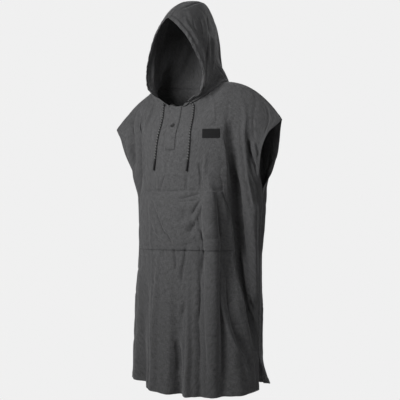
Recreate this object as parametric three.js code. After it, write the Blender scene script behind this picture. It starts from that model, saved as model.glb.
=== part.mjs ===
// A hooded changing poncho of woven cloth, worn open over a general figure, in millimetres.
// +Z is up, the front faces -Y and the wearer's left is +X. The origin is midway between the shoulders,
// level with the side of the neck, where the wearer's shoulders hold the garment up.
import * as THREE from "three";

// Driving sizes of the cloth and its cut
const CLOTH = 1.6; // wall thickness
const SEAM_GAP = 0.3; // between two pieces at a seam
const NECK_HALF_WIDTH = 135;
const NECK_FRONT = 112;
const NECK_BACK = 88;
const NECK_DROP = 84; // from the side of the neck to the front neckline
const NAPE_RISE = 8;
const SHOULDER_TIP = { x: 336, z: -132 };
const SHOULDER_CURVE = { left: 2, right: 1.3 }; // how late each shoulder seam falls away
const NECK_SHARE = 0.36; // share of a panel's half width under the neckline
const UNDERARM_Z = -372;
const POCKET_TOP_Z = -372;
const POCKET_BOTTOM_Z = -565;
const SLIT_TOP_Z = -916;
const HEM = {
  front: { middle: -1045, side: -1030, rightRise: 17 },
  back: { middle: -1030, side: -1012, rightRise: 0 },
};
const PLACKET_BOTTOM_Z = -232;
const PLACKET_LENGTH = -NECK_DROP - PLACKET_BOTTOM_Z;
const HALF_TURN = Math.PI / 2;

const clamp = (value, low, high) => Math.min(high, Math.max(low, value));
const mix = (a, b, t) => a + (b - a) * t;
const smooth = (from, to, value) => {
  const t = clamp((value - from) / (to - from), 0, 1);
  return t * t * (3 - 2 * t);
};

// The value of one named column of a table at a place, on a smooth curve through the rows.
function along(table, key, column, place) {
  const last = table.length - 1;
  const falling = table[0][key] > table[last][key];
  const t = falling ? -place : place;
  const at = (i) => (falling ? -table[i][key] : table[i][key]);
  if (t <= at(0)) return table[0][column];
  if (t >= at(last)) return table[last][column];
  let i = 0;
  while (t > at(i + 1)) i += 1;
  const slope = (k) => {
    if (k === 0 || k === last) return 0;
    const before = (table[k][column] - table[k - 1][column]) / (at(k) - at(k - 1));
    const after = (table[k + 1][column] - table[k][column]) / (at(k + 1) - at(k));
    return before * after > 0 ? (2 * before * after) / (before + after) : 0;
  };
  const span = at(i + 1) - at(i);
  const s = (t - at(i)) / span;
  const [a, b] = [table[i][column], table[i + 1][column]];
  const [da, db] = [slope(i) * span, slope(i + 1) * span];
  return (
    a * (1 + 2 * s) * (1 - s) ** 2 +
    da * s * (1 - s) ** 2 +
    b * s * s * (3 - 2 * s) +
    db * s * s * (s - 1)
  );
}

// Level sections of the body: half width and how far it sits to the wearer's left, depths of front and
// back, share gathered in from the shoulder's width, and half the gap of the armhole or side slit.
const BODY_SECTIONS = [
  { z: 0, half: 336, left: 0, middle: 0, front: 118, back: 108, gathered: 0, gap: 0 },
  { z: -60, half: 336, left: 0, middle: 0, front: 126, back: 116, gathered: 0, gap: 0 },
  { z: -132, half: 336, left: 0, middle: 0, front: 142, back: 126, gathered: 0.04, gap: 4 },
  { z: -180, half: 298, left: 10, middle: 3, front: 156, back: 132, gathered: 0.3, gap: 44 },
  { z: -235, half: 274, left: 16, middle: 6, front: 160, back: 134, gathered: 0.52, gap: 58 },
  { z: -300, half: 254, left: 20, middle: 9, front: 160, back: 130, gathered: 0.74, gap: 46 },
  { z: -372, half: 240, left: 20, middle: 10, front: 158, back: 126, gathered: 0.9, gap: 0 },
  { z: -550, half: 229, left: 18, middle: 10, front: 158, back: 130, gathered: 1, gap: 0 },
  { z: -750, half: 236, left: 11, middle: 10, front: 164, back: 138, gathered: 1, gap: 0 },
  { z: -916, half: 238, left: 8, middle: 10, front: 166, back: 143, gathered: 1, gap: 0 },
  { z: -1045, half: 241, left: 6, middle: 10, front: 169, back: 148, gathered: 1, gap: 0 },
];

// Folds of the two panels. A fold follows a path from top to bottom across the panel, where u runs from -1
// at the wearer's right edge to 1 at the left. Half widths and heights are real sizes: a height over 0 is
// a ridge and one under 0 a trough.
const FRONT_FOLDS = [
  { name: "left_arm_valley", top: -95, bottom: -900, u: [0.57, 0.735, 0.97], wide: [30, 33, 22], high: [-6, -50, -4] },
  { name: "left_flange", top: -190, bottom: -760, u: [0.83, 0.87, 0.98], wide: [26, 28, 20], high: [0, 12, 0] },
  { name: "left_sleeve_crease", top: -165, bottom: -440, u: [0.76, 0.83, 0.92], wide: [20, 24, 22], high: [0, -16, 0] },
  { name: "right_arm_valley", top: -60, bottom: -430, u: [-0.52, -0.57, -0.62], wide: [24, 28, 24], high: [0, -38, 0] },
  { name: "right_flange", top: -120, bottom: -400, u: [-0.74, -0.74, -0.78], wide: [24, 26, 24], high: [0, 10, 0] },
  { name: "right_neck_crease", top: -55, bottom: -230, u: [-0.4, -0.39, -0.37], wide: [12, 13, 12], high: [0, -7, 0] },
  { name: "chest_crease", top: -270, bottom: -372, u: [0.28, 0.31, 0.33], wide: [9, 10, 8], high: [0, -6, 0] },
  { name: "pocket_ridge", top: -300, bottom: -1060, u: [0.36, 0.42, 0.42], wide: [22, 24, 26], high: [2, 13, 9] },
  { name: "pocket_valley", top: -470, bottom: -1060, u: [0.31, 0.29, 0.3], wide: [11, 16, 22], high: [0, -11, -12] },
  { name: "middle_ridge", top: -640, bottom: -1060, u: [0.2, 0.185, 0.18], wide: [13, 16, 18], high: [0, 10, 15] },
  { name: "middle_valley", top: -570, bottom: -1060, u: [0.05, 0.055, 0.065], wide: [16, 28, 34], high: [0, -12, -42] },
  { name: "right_ridge", top: -520, bottom: -1060, u: [-0.15, -0.18, -0.2], wide: [13, 20, 26], high: [0, 9, 8] },
  { name: "right_valley", top: -590, bottom: -1060, u: [-0.36, -0.4, -0.43], wide: [26, 44, 62], high: [0, -14, -46] },
  { name: "outer_right_ridge", top: -640, bottom: -1060, u: [-0.7, -0.72, -0.74], wide: [22, 26, 30], high: [0, 3, 6] },
  { name: "slanting_ridge", top: -600, bottom: -1050, u: [0.52, 0.6, 0.72], wide: [24, 30, 30], high: [0, 11, 9] },
  { name: "slanting_valley", top: -560, bottom: -1050, u: [0.42, 0.47, 0.53], wide: [22, 26, 28], high: [0, -10, -12] },
];
const BACK_FOLDS = [
  { name: "left_blade_valley", top: -90, bottom: -760, u: [0.56, 0.63, 0.8], wide: [26, 32, 24], high: [0, -34, -6] },
  { name: "left_back_flange", top: -180, bottom: -620, u: [0.8, 0.85, 0.93], wide: [22, 26, 18], high: [0, 10, 0] },
  { name: "right_blade_valley", top: -80, bottom: -700, u: [-0.54, -0.6, -0.76], wide: [26, 31, 24], high: [0, -36, -4] },
  { name: "right_back_flange", top: -170, bottom: -560, u: [-0.78, -0.82, -0.9], wide: [22, 25, 20], high: [0, 9, 0] },
  { name: "spine_valley", top: -330, bottom: -1050, u: [-0.02, 0.03, 0.06], wide: [18, 26, 26], high: [0, -12, -16] },
  { name: "spine_ridge_left", top: -420, bottom: -1050, u: [0.2, 0.22, 0.24], wide: [20, 24, 26], high: [0, 10, 15] },
  { name: "spine_ridge_right", top: -380, bottom: -1050, u: [-0.2, -0.2, -0.19], wide: [20, 24, 26], high: [0, 9, 14] },
  { name: "outer_left_valley", top: -560, bottom: -1050, u: [0.42, 0.44, 0.46], wide: [20, 24, 26], high: [0, -13, -18] },
  { name: "outer_right_valley", top: -520, bottom: -1050, u: [-0.4, -0.42, -0.45], wide: [20, 24, 26], high: [0, -12, -20] },
  { name: "outer_left_ridge", top: -600, bottom: -1050, u: [0.66, 0.66, 0.68], wide: [20, 24, 26], high: [0, 8, 12] },
  { name: "outer_right_ridge", top: -600, bottom: -1050, u: [-0.66, -0.67, -0.7], wide: [20, 24, 26], high: [0, 8, 11] },
];
const FOLD_FADE = 90; // how far below the shoulder seam the folds reach their full height

const throughThree = ([a, b, c], t) =>
  a * (1 - t) * (1 - 2 * t) + 4 * b * t * (1 - t) + c * t * (2 * t - 1);
const bell = (t) => (Math.abs(t) < 1 ? (1 + Math.cos(Math.PI * t)) / 2 : 0);

// How far the folds lift the cloth at a place of a panel.
function foldHeight(folds, u, z) {
  let height = 0;
  for (const fold of folds) {
    const t = (fold.top - z) / (fold.top - fold.bottom);
    if (t <= 0 || t >= 1) continue;
    const across = u * HALF_TURN;
    const perShare = HALF_TURN * Math.hypot(240 * Math.cos(across), 155 * Math.sin(across));
    const away = ((u - throughThree(fold.u, t)) * perShare) / throughThree(fold.wide, t);
    const ends = smooth(0, 0.12, t) * (fold.high[2] === 0 ? smooth(1, 0.85, t) : 1);
    height += throughThree(fold.high, t) * bell(away) * ends;
  }
  return height;
}

// The neckline, by the angle from the middle of the front round to the nape.
function neckRing(angle) {
  const [across, ahead] = [Math.sin(angle), Math.cos(angle)];
  const side = -12;
  return new THREE.Vector3(
    NECK_HALF_WIDTH * across,
    side - ahead * (ahead > 0 ? NECK_FRONT + side : NECK_BACK - side),
    ahead > 0 ? -NECK_DROP * ahead ** 1.5 : -NAPE_RISE * ahead,
  );
}

// A panel's top edge, along the neckline and then the shoulder seam.
function topEdge(panel, u) {
  const share = Math.abs(u) / NECK_SHARE;
  if (share <= 1) {
    const point = neckRing(share * HALF_TURN);
    if (panel.side > 0) point.copy(neckRing(Math.PI - share * HALF_TURN));
    point.x *= Math.sign(u);
    return point;
  }
  const t = (Math.min(Math.abs(u), 1) - NECK_SHARE) / (1 - NECK_SHARE);
  const x = mix(NECK_HALF_WIDTH, SHOULDER_TIP.x, t);
  const curve = u > 0 ? SHOULDER_CURVE.left : SHOULDER_CURVE.right;
  return new THREE.Vector3(x * Math.sign(u), mix(-12, 0, t), SHOULDER_TIP.z * t ** curve);
}

// The same edge with its corner at the side of the neck eased, as the cloth below it hangs.
function easedEdge(panel, u, ease) {
  const point = topEdge(panel, u);
  const reach = 0.16 * smooth(0, 1, ease) * smooth(0.05, 0.25, Math.abs(u)) * smooth(1, 0.8, Math.abs(u));
  if (reach === 0) return point;
  for (const step of [-1, -0.6, -0.3, 0.3, 0.6, 1]) point.add(topEdge(panel, u + step * reach));
  return point.multiplyScalar(1 / 7);
}

const FRONT = { name: "front", side: -1, depth: "front", folds: FRONT_FOLDS, hem: HEM.front };
const BACK = { name: "back", side: 1, depth: "back", folds: BACK_FOLDS, hem: HEM.back };

// A point of a panel's outer face. From the top edge, v runs from 0 to 0.5 over the shoulder's curve and
// from there to 1 at the underarm level. Lower levels are given by z itself.
function panelPoint(panel, u, v, level) {
  const turn = level === undefined ? HALF_TURN * Math.min(2 * v, 1) : HALF_TURN;
  const edge = easedEdge(panel, u, turn);
  const reach = mix(PLACKET_LENGTH, 74, smooth(NECK_SHARE, 1, Math.abs(u)));
  let z = level;
  if (level === undefined) {
    const foot = edge.z - reach;
    z = v < 0.5 ? edge.z - reach * (1 - Math.cos(turn)) : mix(foot, UNDERARM_Z, 2 * v - 1);
  }
  const row = (column) => along(BODY_SECTIONS, "z", column, z);
  const across = u * HALF_TURN;
  const sine = Math.sin(across);
  const armhole = row("gap") * Math.abs(u) ** 6;
  const flatX = (edge.x * row("half")) / SHOULDER_TIP.x;
  const bodyX = mix(flatX, row("half") * sine, row("gathered")) + row("left") * sine * sine;
  const bodyY = row("middle") + panel.side * (row(panel.depth) * Math.cos(across) ** 0.9 + armhole);
  const collar = smooth(0.2, 0.46, Math.abs(u));
  const forward = mix(Math.sin(HALF_TURN * (1 - Math.cos(turn))), Math.sin(turn), collar);
  const point = new THREE.Vector3(bodyX, mix(edge.y, bodyY, forward), z);
  const normal = new THREE.Vector3(sine / 240, (panel.side * Math.cos(across)) / 155, 0).normalize();
  point.addScaledVector(normal, foldHeight(panel.folds, u, z) * smooth(0, FOLD_FADE, edge.z - z));
  if (z < SLIT_TOP_Z && panel.side > 0) {
    const open = ((SLIT_TOP_Z - z) / (SLIT_TOP_Z - panel.hem.side)) ** 1.1 * smooth(0.7, 1, Math.abs(u));
    point.y += 28 * open;
    point.x += 22 * open * Math.sign(u);
  }
  return point;
}

// Lines that the front's columns follow, as shares of its half width: the placket's edges, the pocket's
// slanting hand openings and the deep valley that falls from each arm.
const FRONT_LINES = [
  { z: -84, placket: 0.034, leftPocket: 0.42, rightPocket: 0.36, leftValley: 0.56, rightValley: 0.52 },
  { z: -232, placket: 0.043, leftPocket: 0.44, rightPocket: 0.38, leftValley: 0.62, rightValley: 0.56 },
  { z: -372, placket: 0.052, leftPocket: 0.49, rightPocket: 0.4, leftValley: 0.67, rightValley: 0.6 },
  { z: -505, placket: 0.053, leftPocket: 0.64, rightPocket: 0.58, leftValley: 0.735, rightValley: 0.7 },
  { z: -565, placket: 0.053, leftPocket: 0.65, rightPocket: 0.59, leftValley: 0.755, rightValley: 0.72 },
  { z: -728, placket: 0.053, leftPocket: 0.66, rightPocket: 0.6, leftValley: 0.83, rightValley: 0.76 },
  { z: -900, placket: 0.053, leftPocket: 0.66, rightPocket: 0.6, leftValley: 0.9, rightValley: 0.8 },
  { z: -1045, placket: 0.053, leftPocket: 0.66, rightPocket: 0.6, leftValley: 0.9, rightValley: 0.8 },
];
const FRONT_STEPS = { placket: 2, pocket: 9, flank: 4, side: 7 }; // columns from the middle outwards
const FRONT_ROWS = { placket: 9, chest: 6, pocket: 7, skirt: 9, slit: 4 };
const FRONT_HALF = FRONT_STEPS.placket + FRONT_STEPS.pocket + FRONT_STEPS.flank + FRONT_STEPS.side;

// The share of the half width at which a column of the front lies.
function frontShare(column, z) {
  const line = (name) => along(FRONT_LINES, "z", name, z);
  const side = column < 0 ? "right" : "left";
  const spans = [
    [FRONT_STEPS.placket, line("placket")],
    [FRONT_STEPS.pocket, line(`${side}Pocket`)],
    [FRONT_STEPS.flank, line(`${side}Valley`)],
    [FRONT_STEPS.side, 1],
  ];
  let [left, from] = [Math.abs(column), 0];
  for (const [steps, to] of spans) {
    if (left <= steps) return Math.sign(column) * mix(from, to, left / steps);
    left -= steps;
    from = to;
  }
  return Math.sign(column);
}

// The back's columns follow the valleys that fall from the shoulder blades.
const BACK_LINES = [
  { z: 0, leftValley: 0.56, rightValley: 0.54 },
  { z: -425, leftValley: 0.63, rightValley: 0.6 },
  { z: -760, leftValley: 0.8, rightValley: 0.76 },
  { z: -1030, leftValley: 0.8, rightValley: 0.76 },
];
const BACK_STEPS = { middle: 12, side: 8 };
const BACK_ROWS = { top: 7, blade: 5, skirt: 13, slit: 3 };
function backShare(column, z) {
  const valley = along(BACK_LINES, "z", column < 0 ? "rightValley" : "leftValley", z);
  const steps = Math.abs(column);
  const share =
    steps <= BACK_STEPS.middle
      ? (valley * steps) / BACK_STEPS.middle
      : mix(valley, 1, (steps - BACK_STEPS.middle) / BACK_STEPS.side);
  return Math.sign(column) * share;
}

// A panel's grid of outer points. Its rows are level from the underarm down, and the columns of each row
// lie where the share function puts them.
function panelGrid(panel, halfColumns, shareAt, rows) {
  return rows.map((row) =>
    Array.from({ length: 2 * halfColumns + 1 }, (_, i) => {
      const high = -NECK_DROP - PLACKET_LENGTH * (1 - Math.cos(HALF_TURN * Math.min(2 * row.v, 1)));
      const place = row.z ?? (row.v > 0.5 ? mix(PLACKET_BOTTOM_Z, UNDERARM_Z, 2 * row.v - 1) : high);
      const u = shareAt(i - halfColumns, place);
      if (row.v !== undefined) return panelPoint(panel, u, row.v);
      const hem = mix(panel.hem.middle, panel.hem.side, u * u) + panel.hem.rightRise * smooth(0, 0.5, -u);
      const z = row.z < SLIT_TOP_Z ? mix(SLIT_TOP_Z, hem, (SLIT_TOP_Z - row.z) / (SLIT_TOP_Z + 1045)) : row.z;
      return panelPoint(panel, u, 1, z);
    }),
  );
}

// Rows at even steps between two values of v or z, without the last one
const steps = (key, from, to, count) => Array.from({ length: count }, (_, j) => ({ [key]: mix(from, to, j / count) }));
const frontRows = [
  ...steps("v", 0, 0.5, FRONT_ROWS.placket),
  ...steps("v", 0.5, 1, FRONT_ROWS.chest),
  ...steps("z", UNDERARM_Z, POCKET_BOTTOM_Z, FRONT_ROWS.pocket),
  ...steps("z", POCKET_BOTTOM_Z, SLIT_TOP_Z, FRONT_ROWS.skirt),
  ...steps("z", SLIT_TOP_Z, -1045, FRONT_ROWS.slit),
  { z: -1045 },
];
const backRows = [
  ...steps("v", 0, 0.5, BACK_ROWS.top),
  ...steps("v", 0.5, 1, BACK_ROWS.blade),
  ...steps("z", UNDERARM_Z, SLIT_TOP_Z, BACK_ROWS.skirt),
  ...steps("z", SLIT_TOP_Z, -1045, BACK_ROWS.slit),
  { z: -1045 },
];

// Unit normals of a grid of points, on the side that the sign gives.
function gridNormals(grid, sign) {
  const [rows, columns] = [grid.length, grid[0].length];
  return grid.map((line, j) =>
    line.map((_, i) => {
      const down = new THREE.Vector3().subVectors(
        grid[Math.min(j + 1, rows - 1)][i],
        grid[Math.max(j - 1, 0)][i],
      );
      const over = new THREE.Vector3().subVectors(
        line[Math.min(i + 1, columns - 1)],
        line[Math.max(i - 1, 0)],
      );
      return down.cross(over).multiplyScalar(sign).normalize();
    }),
  );
}

// Moves each point of a grid along its normal.
const movedOut = (grid, normals, distance) =>
  grid.map((line, j) => line.map((point, i) => point.clone().addScaledVector(normals[j][i], distance)));

// A closed wall between two grids of points, with a rim all round.
function wall(outer, inner) {
  const [rows, columns] = [outer.length, outer[0].length];
  const positions = [];
  for (const grid of [outer, inner]) {
    for (const line of grid) for (const point of line) positions.push(point.x, point.y, point.z);
  }
  const id = (layer, j, i) => layer * rows * columns + j * columns + i;
  const index = [];
  const quad = (a, b, c, d) => index.push(a, b, c, a, c, d);
  for (let j = 0; j + 1 < rows; j += 1) {
    for (let i = 0; i + 1 < columns; i += 1) {
      quad(id(0, j, i), id(0, j + 1, i), id(0, j + 1, i + 1), id(0, j, i + 1));
      quad(id(1, j, i), id(1, j, i + 1), id(1, j + 1, i + 1), id(1, j + 1, i));
    }
  }
  for (let i = 0; i + 1 < columns; i += 1) {
    quad(id(0, 0, i), id(0, 0, i + 1), id(1, 0, i + 1), id(1, 0, i));
    quad(id(0, rows - 1, i + 1), id(0, rows - 1, i), id(1, rows - 1, i), id(1, rows - 1, i + 1));
  }
  for (let j = 0; j + 1 < rows; j += 1) {
    quad(id(0, j + 1, 0), id(0, j, 0), id(1, j, 0), id(1, j + 1, 0));
    quad(id(0, j, columns - 1), id(0, j + 1, columns - 1), id(1, j + 1, columns - 1), id(1, j, columns - 1));
  }
  if (signedVolume(positions, index) < 0) index.reverse();
  const geometry = new THREE.BufferGeometry();
  geometry.setAttribute("position", new THREE.Float32BufferAttribute(positions, 3));
  geometry.setIndex(index);
  geometry.computeVertexNormals();
  return geometry;
}

function signedVolume(positions, index) {
  const corner = (k) => new THREE.Vector3().fromArray(positions, 3 * index[k]);
  let volume = 0;
  for (let k = 0; k < index.length; k += 3) volume += corner(k).dot(corner(k + 1).cross(corner(k + 2)));
  return volume;
}

// Materials by the cloth or trim they stand for
const material = (color, roughness) => new THREE.MeshStandardMaterial({ color, roughness, metalness: 0 });
const MATERIALS = {
  shell: material(0x4b4b4c, 0.85),
  patch: material(0x1b1b1c, 0.8),
  cord: material(0x151516, 0.7),
  tip: material(0x0d0d0e, 0.45),
  button: material(0x2a2a2b, 0.4),
};

const poncho = new THREE.Group();
function addPiece(name, geometry, finish) {
  const mesh = new THREE.Mesh(geometry, MATERIALS[finish]);
  mesh.name = name;
  poncho.add(mesh);
  return mesh;
}

// Parts the panels at their shared seams and squares the walls to the seam.
function seamed(grid, normals, panel) {
  const [rows, columns] = [grid.length, grid[0].length];
  const half = (panel.side * SEAM_GAP) / 2;
  const join = (j, i) => {
    grid[j][i].y += half;
    normals[j][i].setY(0).normalize();
  };
  for (let j = 1; j < rows; j += 1) {
    join(j, 0);
    join(j, columns - 1);
  }
  for (let i = 0; i < columns; i += 1) join(0, i);
  return movedOut(grid, normals, -CLOTH);
}

const frontOuter = panelGrid(FRONT, FRONT_HALF, frontShare, frontRows);
const frontNormals = gridNormals(frontOuter, 1);
addPiece("front", wall(frontOuter, seamed(frontOuter, frontNormals, FRONT)), "shell");

const backOuter = panelGrid(BACK, BACK_STEPS.middle + BACK_STEPS.side, backShare, backRows);
const backNormals = gridNormals(backOuter, -1);
addPiece("back", wall(backOuter, seamed(backOuter, backNormals, BACK)), "shell");

// The pocket and the placket lie on the front: they are cut from its own grid and moved out.
const cut = (grid, fromRow, toRow, halfSpan) =>
  grid
    .slice(fromRow, toRow + 1)
    .map((line) => line.slice(FRONT_HALF - halfSpan, FRONT_HALF + halfSpan + 1).map((item) => item.clone()));

function layered(fromRow, toRow, halfSpan, swell) {
  const base = cut(frontOuter, fromRow, toRow, halfSpan);
  const normals = cut(frontNormals, fromRow, toRow, halfSpan);
  const lift = (j, i) => {
    const down = j / (base.length - 1);
    const over = i / (base[0].length - 1);
    return SEAM_GAP + swell * Math.sin(Math.PI * over) ** 0.5 * Math.sin(Math.PI * down) ** 0.5;
  };
  const raised = (extra) =>
    base.map((line, j) => line.map((point, i) => point.clone().addScaledVector(normals[j][i], lift(j, i) + extra)));
  return wall(raised(CLOTH), raised(0));
}

const pocketRow = FRONT_ROWS.placket + FRONT_ROWS.chest;
addPiece(
  "pocket",
  layered(pocketRow, pocketRow + FRONT_ROWS.pocket, FRONT_STEPS.placket + FRONT_STEPS.pocket, 3),
  "shell",
);
addPiece("placket", layered(0, FRONT_ROWS.placket, FRONT_STEPS.placket, 0), "shell");

// The hood is two panels. Each rib runs from the neckline up over the head to the middle seam, the first
// along the face opening and the last along the back of the head.
const HOOD_RIBS = [
  { at: 0, neck: 10, topY: -168, topZ: 208, wide: 130, round: 1.5, flare: 0.13, bow: 0 },
  { at: 0.14, neck: 38, topY: -122, topZ: 246, wide: 118, round: 1.05, flare: 0.12, bow: 0 },
  { at: 0.32, neck: 70, topY: -54, topZ: 281, wide: 100, round: 0.78, flare: 0.13, bow: 2 },
  { at: 0.52, neck: 98, topY: 16, topZ: 293, wide: 85, round: 0.7, flare: 0.19, bow: 3 },
  { at: 0.7, neck: 124, topY: 66, topZ: 257, wide: 72, round: 0.68, flare: 0.2, bow: 6 },
  { at: 0.86, neck: 150, topY: 96, topZ: 200, wide: 52, round: 0.6, flare: 0.16, bow: 9 },
  { at: 1, neck: 180, topY: 104, topZ: 130, wide: 0, round: 0.6, flare: 0.16, bow: 9 },
];
const HOOD_FOLDS = [
  { name: "cheek_valley", rib: [0.17, 0.19, 0.2], from: 0.08, to: 0.66, wide: 0.075, high: -15 },
  { name: "cheek_ridge", rib: [0.29, 0.3, 0.33], from: 0.1, to: 0.7, wide: 0.07, high: 6 },
  { name: "brow_fold", rib: [0.1, 0.12, 0.15], from: 0.45, to: 0.9, wide: 0.05, high: -5 },
  { name: "nape_fold", rib: [0.62, 0.66, 0.7], from: 0.04, to: 0.5, wide: 0.09, high: -7 },
  { name: "collar_roll", rib: [0.45, 0.45, 0.45], from: 0.01, to: 0.16, wide: 0.5, high: 6 },
];
const HOOD_LIFT = 0.5; // of its lower edge above the neckline
const HOOD_STEPS = { ribs: 19, up: 18 };

function hoodPoint(side, p, q) {
  const rib = (column) => along(HOOD_RIBS, "at", column, p);
  const foot = neckRing((rib("neck") * Math.PI) / 180);
  const turn = q * HALF_TURN;
  const rise = Math.sin(turn);
  const flare = Math.exp(-((rise / rib("flare")) ** 1.3));
  const z = mix(foot.z + HOOD_LIFT, rib("topZ"), rise);
  const y = mix(foot.y, rib("topY"), rise ** 1.15) + rib("bow") * Math.sin(Math.PI * rise);
  const x = rib("wide") * Math.cos(turn) ** rib("round") * (1 - flare) + foot.x * flare;
  const point = new THREE.Vector3(x, y, z);
  let height = 0;
  for (const fold of HOOD_FOLDS) {
    const t = (q - fold.from) / (fold.to - fold.from);
    if (t > 0 && t < 1) height += fold.high * bell((p - throughThree(fold.rib, t)) / fold.wide) * Math.sin(Math.PI * t);
  }
  const round = p * Math.PI;
  point.x += height * Math.sin(Math.max(round, 0.5)) * (side < 0 ? 0.8 : 1);
  point.y -= height * Math.cos(Math.max(round, 0.5)) * 0.4;
  point.x = side * Math.max(point.x, 0);
  return point;
}

function hoodPanel(side) {
  const outer = [];
  for (let j = 0; j <= HOOD_STEPS.up; j += 1) {
    const q = 1 - j / HOOD_STEPS.up;
    outer.push(Array.from({ length: HOOD_STEPS.ribs + 1 }, (_, i) => hoodPoint(side, i / HOOD_STEPS.ribs, q)));
  }
  const normals = gridNormals(outer, side);
  const [lastRow, lastRib] = [HOOD_STEPS.up, HOOD_STEPS.ribs];
  const seam = (j, i) => {
    outer[j][i].x = (side * SEAM_GAP) / 2;
    normals[j][i].setX(0).normalize();
  };
  for (let i = 0; i <= lastRib; i += 1) {
    seam(0, i);
    normals[lastRow][i].setZ(0).normalize();
  }
  for (let j = 0; j <= lastRow; j += 1) seam(j, lastRib);
  return wall(outer, movedOut(outer, normals, -CLOTH));
}
addPiece("hood_left", hoodPanel(1), "shell");
addPiece("hood_right", hoodPanel(-1), "shell");

// The place on the front's outer face at a given x and z, above the underarm, and the way it faces.
function onFront(x, z) {
  let [u, v] = [x / 450, 0.4];
  for (let i = 0; i < 80; i += 1) {
    const point = panelPoint(FRONT, u, v);
    u += (x - point.x) / 600;
    v = clamp(v + (point.z - z) / 600, 0.02, 1);
  }
  const point = panelPoint(FRONT, u, v);
  const down = panelPoint(FRONT, u, v + 0.02).sub(point);
  const over = panelPoint(FRONT, u + 0.02, v).sub(point);
  return { point, normal: down.cross(over).normalize() };
}

// The label is a small patch on the wearer's left of the chest.
const LABEL = { x: 144, z: -182, wide: 53, high: 30, thick: 0.8, off: 0.7 };
const labelGrid = (off) =>
  [0.5, 0, -0.5].map((up) =>
    [-0.5, -0.25, 0, 0.25, 0.5].map((over) => {
      const { point, normal } = onFront(LABEL.x + over * LABEL.wide, LABEL.z + up * LABEL.high);
      return point.addScaledVector(normal, off);
    }),
  );
addPiece("label", wall(labelGrid(LABEL.off + LABEL.thick), labelGrid(LABEL.off)), "patch");

// One button with four holes holds the placket.
const BUTTON = { x: 0, z: -150, turned: 0.3, radius: 7.5, thick: 2.4, hole: 0.9, holeAt: 1.8 };
const ringOf = (x, y, radius, points) =>
  Array.from({ length: points }, (_, i) => {
    const angle = (2 * Math.PI * i) / points;
    return new THREE.Vector2(x + radius * Math.cos(angle), y + radius * Math.sin(angle));
  });
const disc = new THREE.Shape(ringOf(0, 0, BUTTON.radius, 24));
for (const [a, b] of [[1, 1], [1, -1], [-1, 1], [-1, -1]]) {
  disc.holes.push(new THREE.Path(ringOf(a * BUTTON.holeAt, b * BUTTON.holeAt, BUTTON.hole, 6)));
}
const button = new THREE.ExtrudeGeometry(disc, { depth: BUTTON.thick, bevelEnabled: false });
const seat = onFront(BUTTON.x, BUTTON.z);
button.rotateZ(BUTTON.turned);
button.applyQuaternion(new THREE.Quaternion().setFromUnitVectors(new THREE.Vector3(0, 0, 1), seat.normal));
seat.point.addScaledVector(seat.normal, CLOTH + 3 * SEAM_GAP);
button.translate(...seat.point);
addPiece("button", button, "button");

// The drawcord's free ends leave the hood's casing by the throat and hang down the chest. Each has a tip.
const CORD = { radius: 2.6, off: 1.2, sides: 8, steps: 30 };
const TIP = { radius: 3.25, long: 36 };
const CORDS = [
  { side: "left", rib: 0.045, up: 0.022, turnX: 62, turnZ: -82, footX: 68, footZ: -268, bow: 11 },
  { side: "right", rib: 0.03, up: 0.024, turnX: -55, turnZ: -80, footX: -61, footZ: -262, bow: 9 },
];
for (const { side, rib, up, turnX, turnZ, footX, footZ, bow } of CORDS) {
  const sign = side === "left" ? 1 : -1;
  const exit = hoodPoint(sign, rib, up);
  exit.y -= CORD.radius + 2 * CORD.off;
  const places = [exit];
  for (let i = 0; i <= 8; i += 1) {
    const t = i / 8;
    const x = mix(turnX, footX, t) + bow * Math.sin(Math.PI * t);
    const { point, normal } = onFront(x, mix(turnZ, footZ, t));
    places.push(point.addScaledVector(normal, CORD.radius + CORD.off));
  }
  const path = new THREE.CatmullRomCurve3(places);
  const shape = new THREE.Shape(ringOf(0, 0, CORD.radius, CORD.sides));
  const geometry = new THREE.ExtrudeGeometry(shape, { steps: CORD.steps, extrudePath: path, bevelEnabled: false });
  addPiece(`cord_${side}`, geometry, "cord");
  const [end, heading] = [path.getPoint(1), path.getTangent(1)];
  const profile = [[0, 0], [TIP.radius - 0.6, 0], [TIP.radius, 1.5], [TIP.radius, TIP.long - 2], [2, TIP.long], [0, TIP.long]];
  const tip = new THREE.LatheGeometry(profile.map(([r, y]) => new THREE.Vector2(r, y)), 12);
  tip.applyQuaternion(new THREE.Quaternion().setFromUnitVectors(new THREE.Vector3(0, 1, 0), heading));
  tip.translate(...end.addScaledVector(heading, SEAM_GAP));
  addPiece(`cord_tip_${side}`, tip, "tip");
}

export default poncho;
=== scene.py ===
"""Dresses a hooded changing poncho as woven cloth, filled out as if worn. Sizes are metres."""
import math

import bpy
import numpy as np
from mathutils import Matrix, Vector


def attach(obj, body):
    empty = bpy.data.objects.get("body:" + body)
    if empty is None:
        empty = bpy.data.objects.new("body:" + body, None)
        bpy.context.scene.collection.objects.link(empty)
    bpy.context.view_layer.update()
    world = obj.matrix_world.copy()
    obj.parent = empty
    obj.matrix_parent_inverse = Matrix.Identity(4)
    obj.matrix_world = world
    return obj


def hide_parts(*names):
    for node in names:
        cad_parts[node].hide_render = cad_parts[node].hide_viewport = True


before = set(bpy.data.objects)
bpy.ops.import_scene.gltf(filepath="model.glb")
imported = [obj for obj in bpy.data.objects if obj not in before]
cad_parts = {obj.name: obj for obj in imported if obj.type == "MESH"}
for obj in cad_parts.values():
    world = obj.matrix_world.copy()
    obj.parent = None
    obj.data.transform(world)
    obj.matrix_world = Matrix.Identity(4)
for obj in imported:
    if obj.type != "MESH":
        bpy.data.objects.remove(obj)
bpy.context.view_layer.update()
scene = bpy.context.scene
HALF_TURN, WHOLE_TURN = math.pi / 2, 2 * math.pi
MM = 1000

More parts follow.
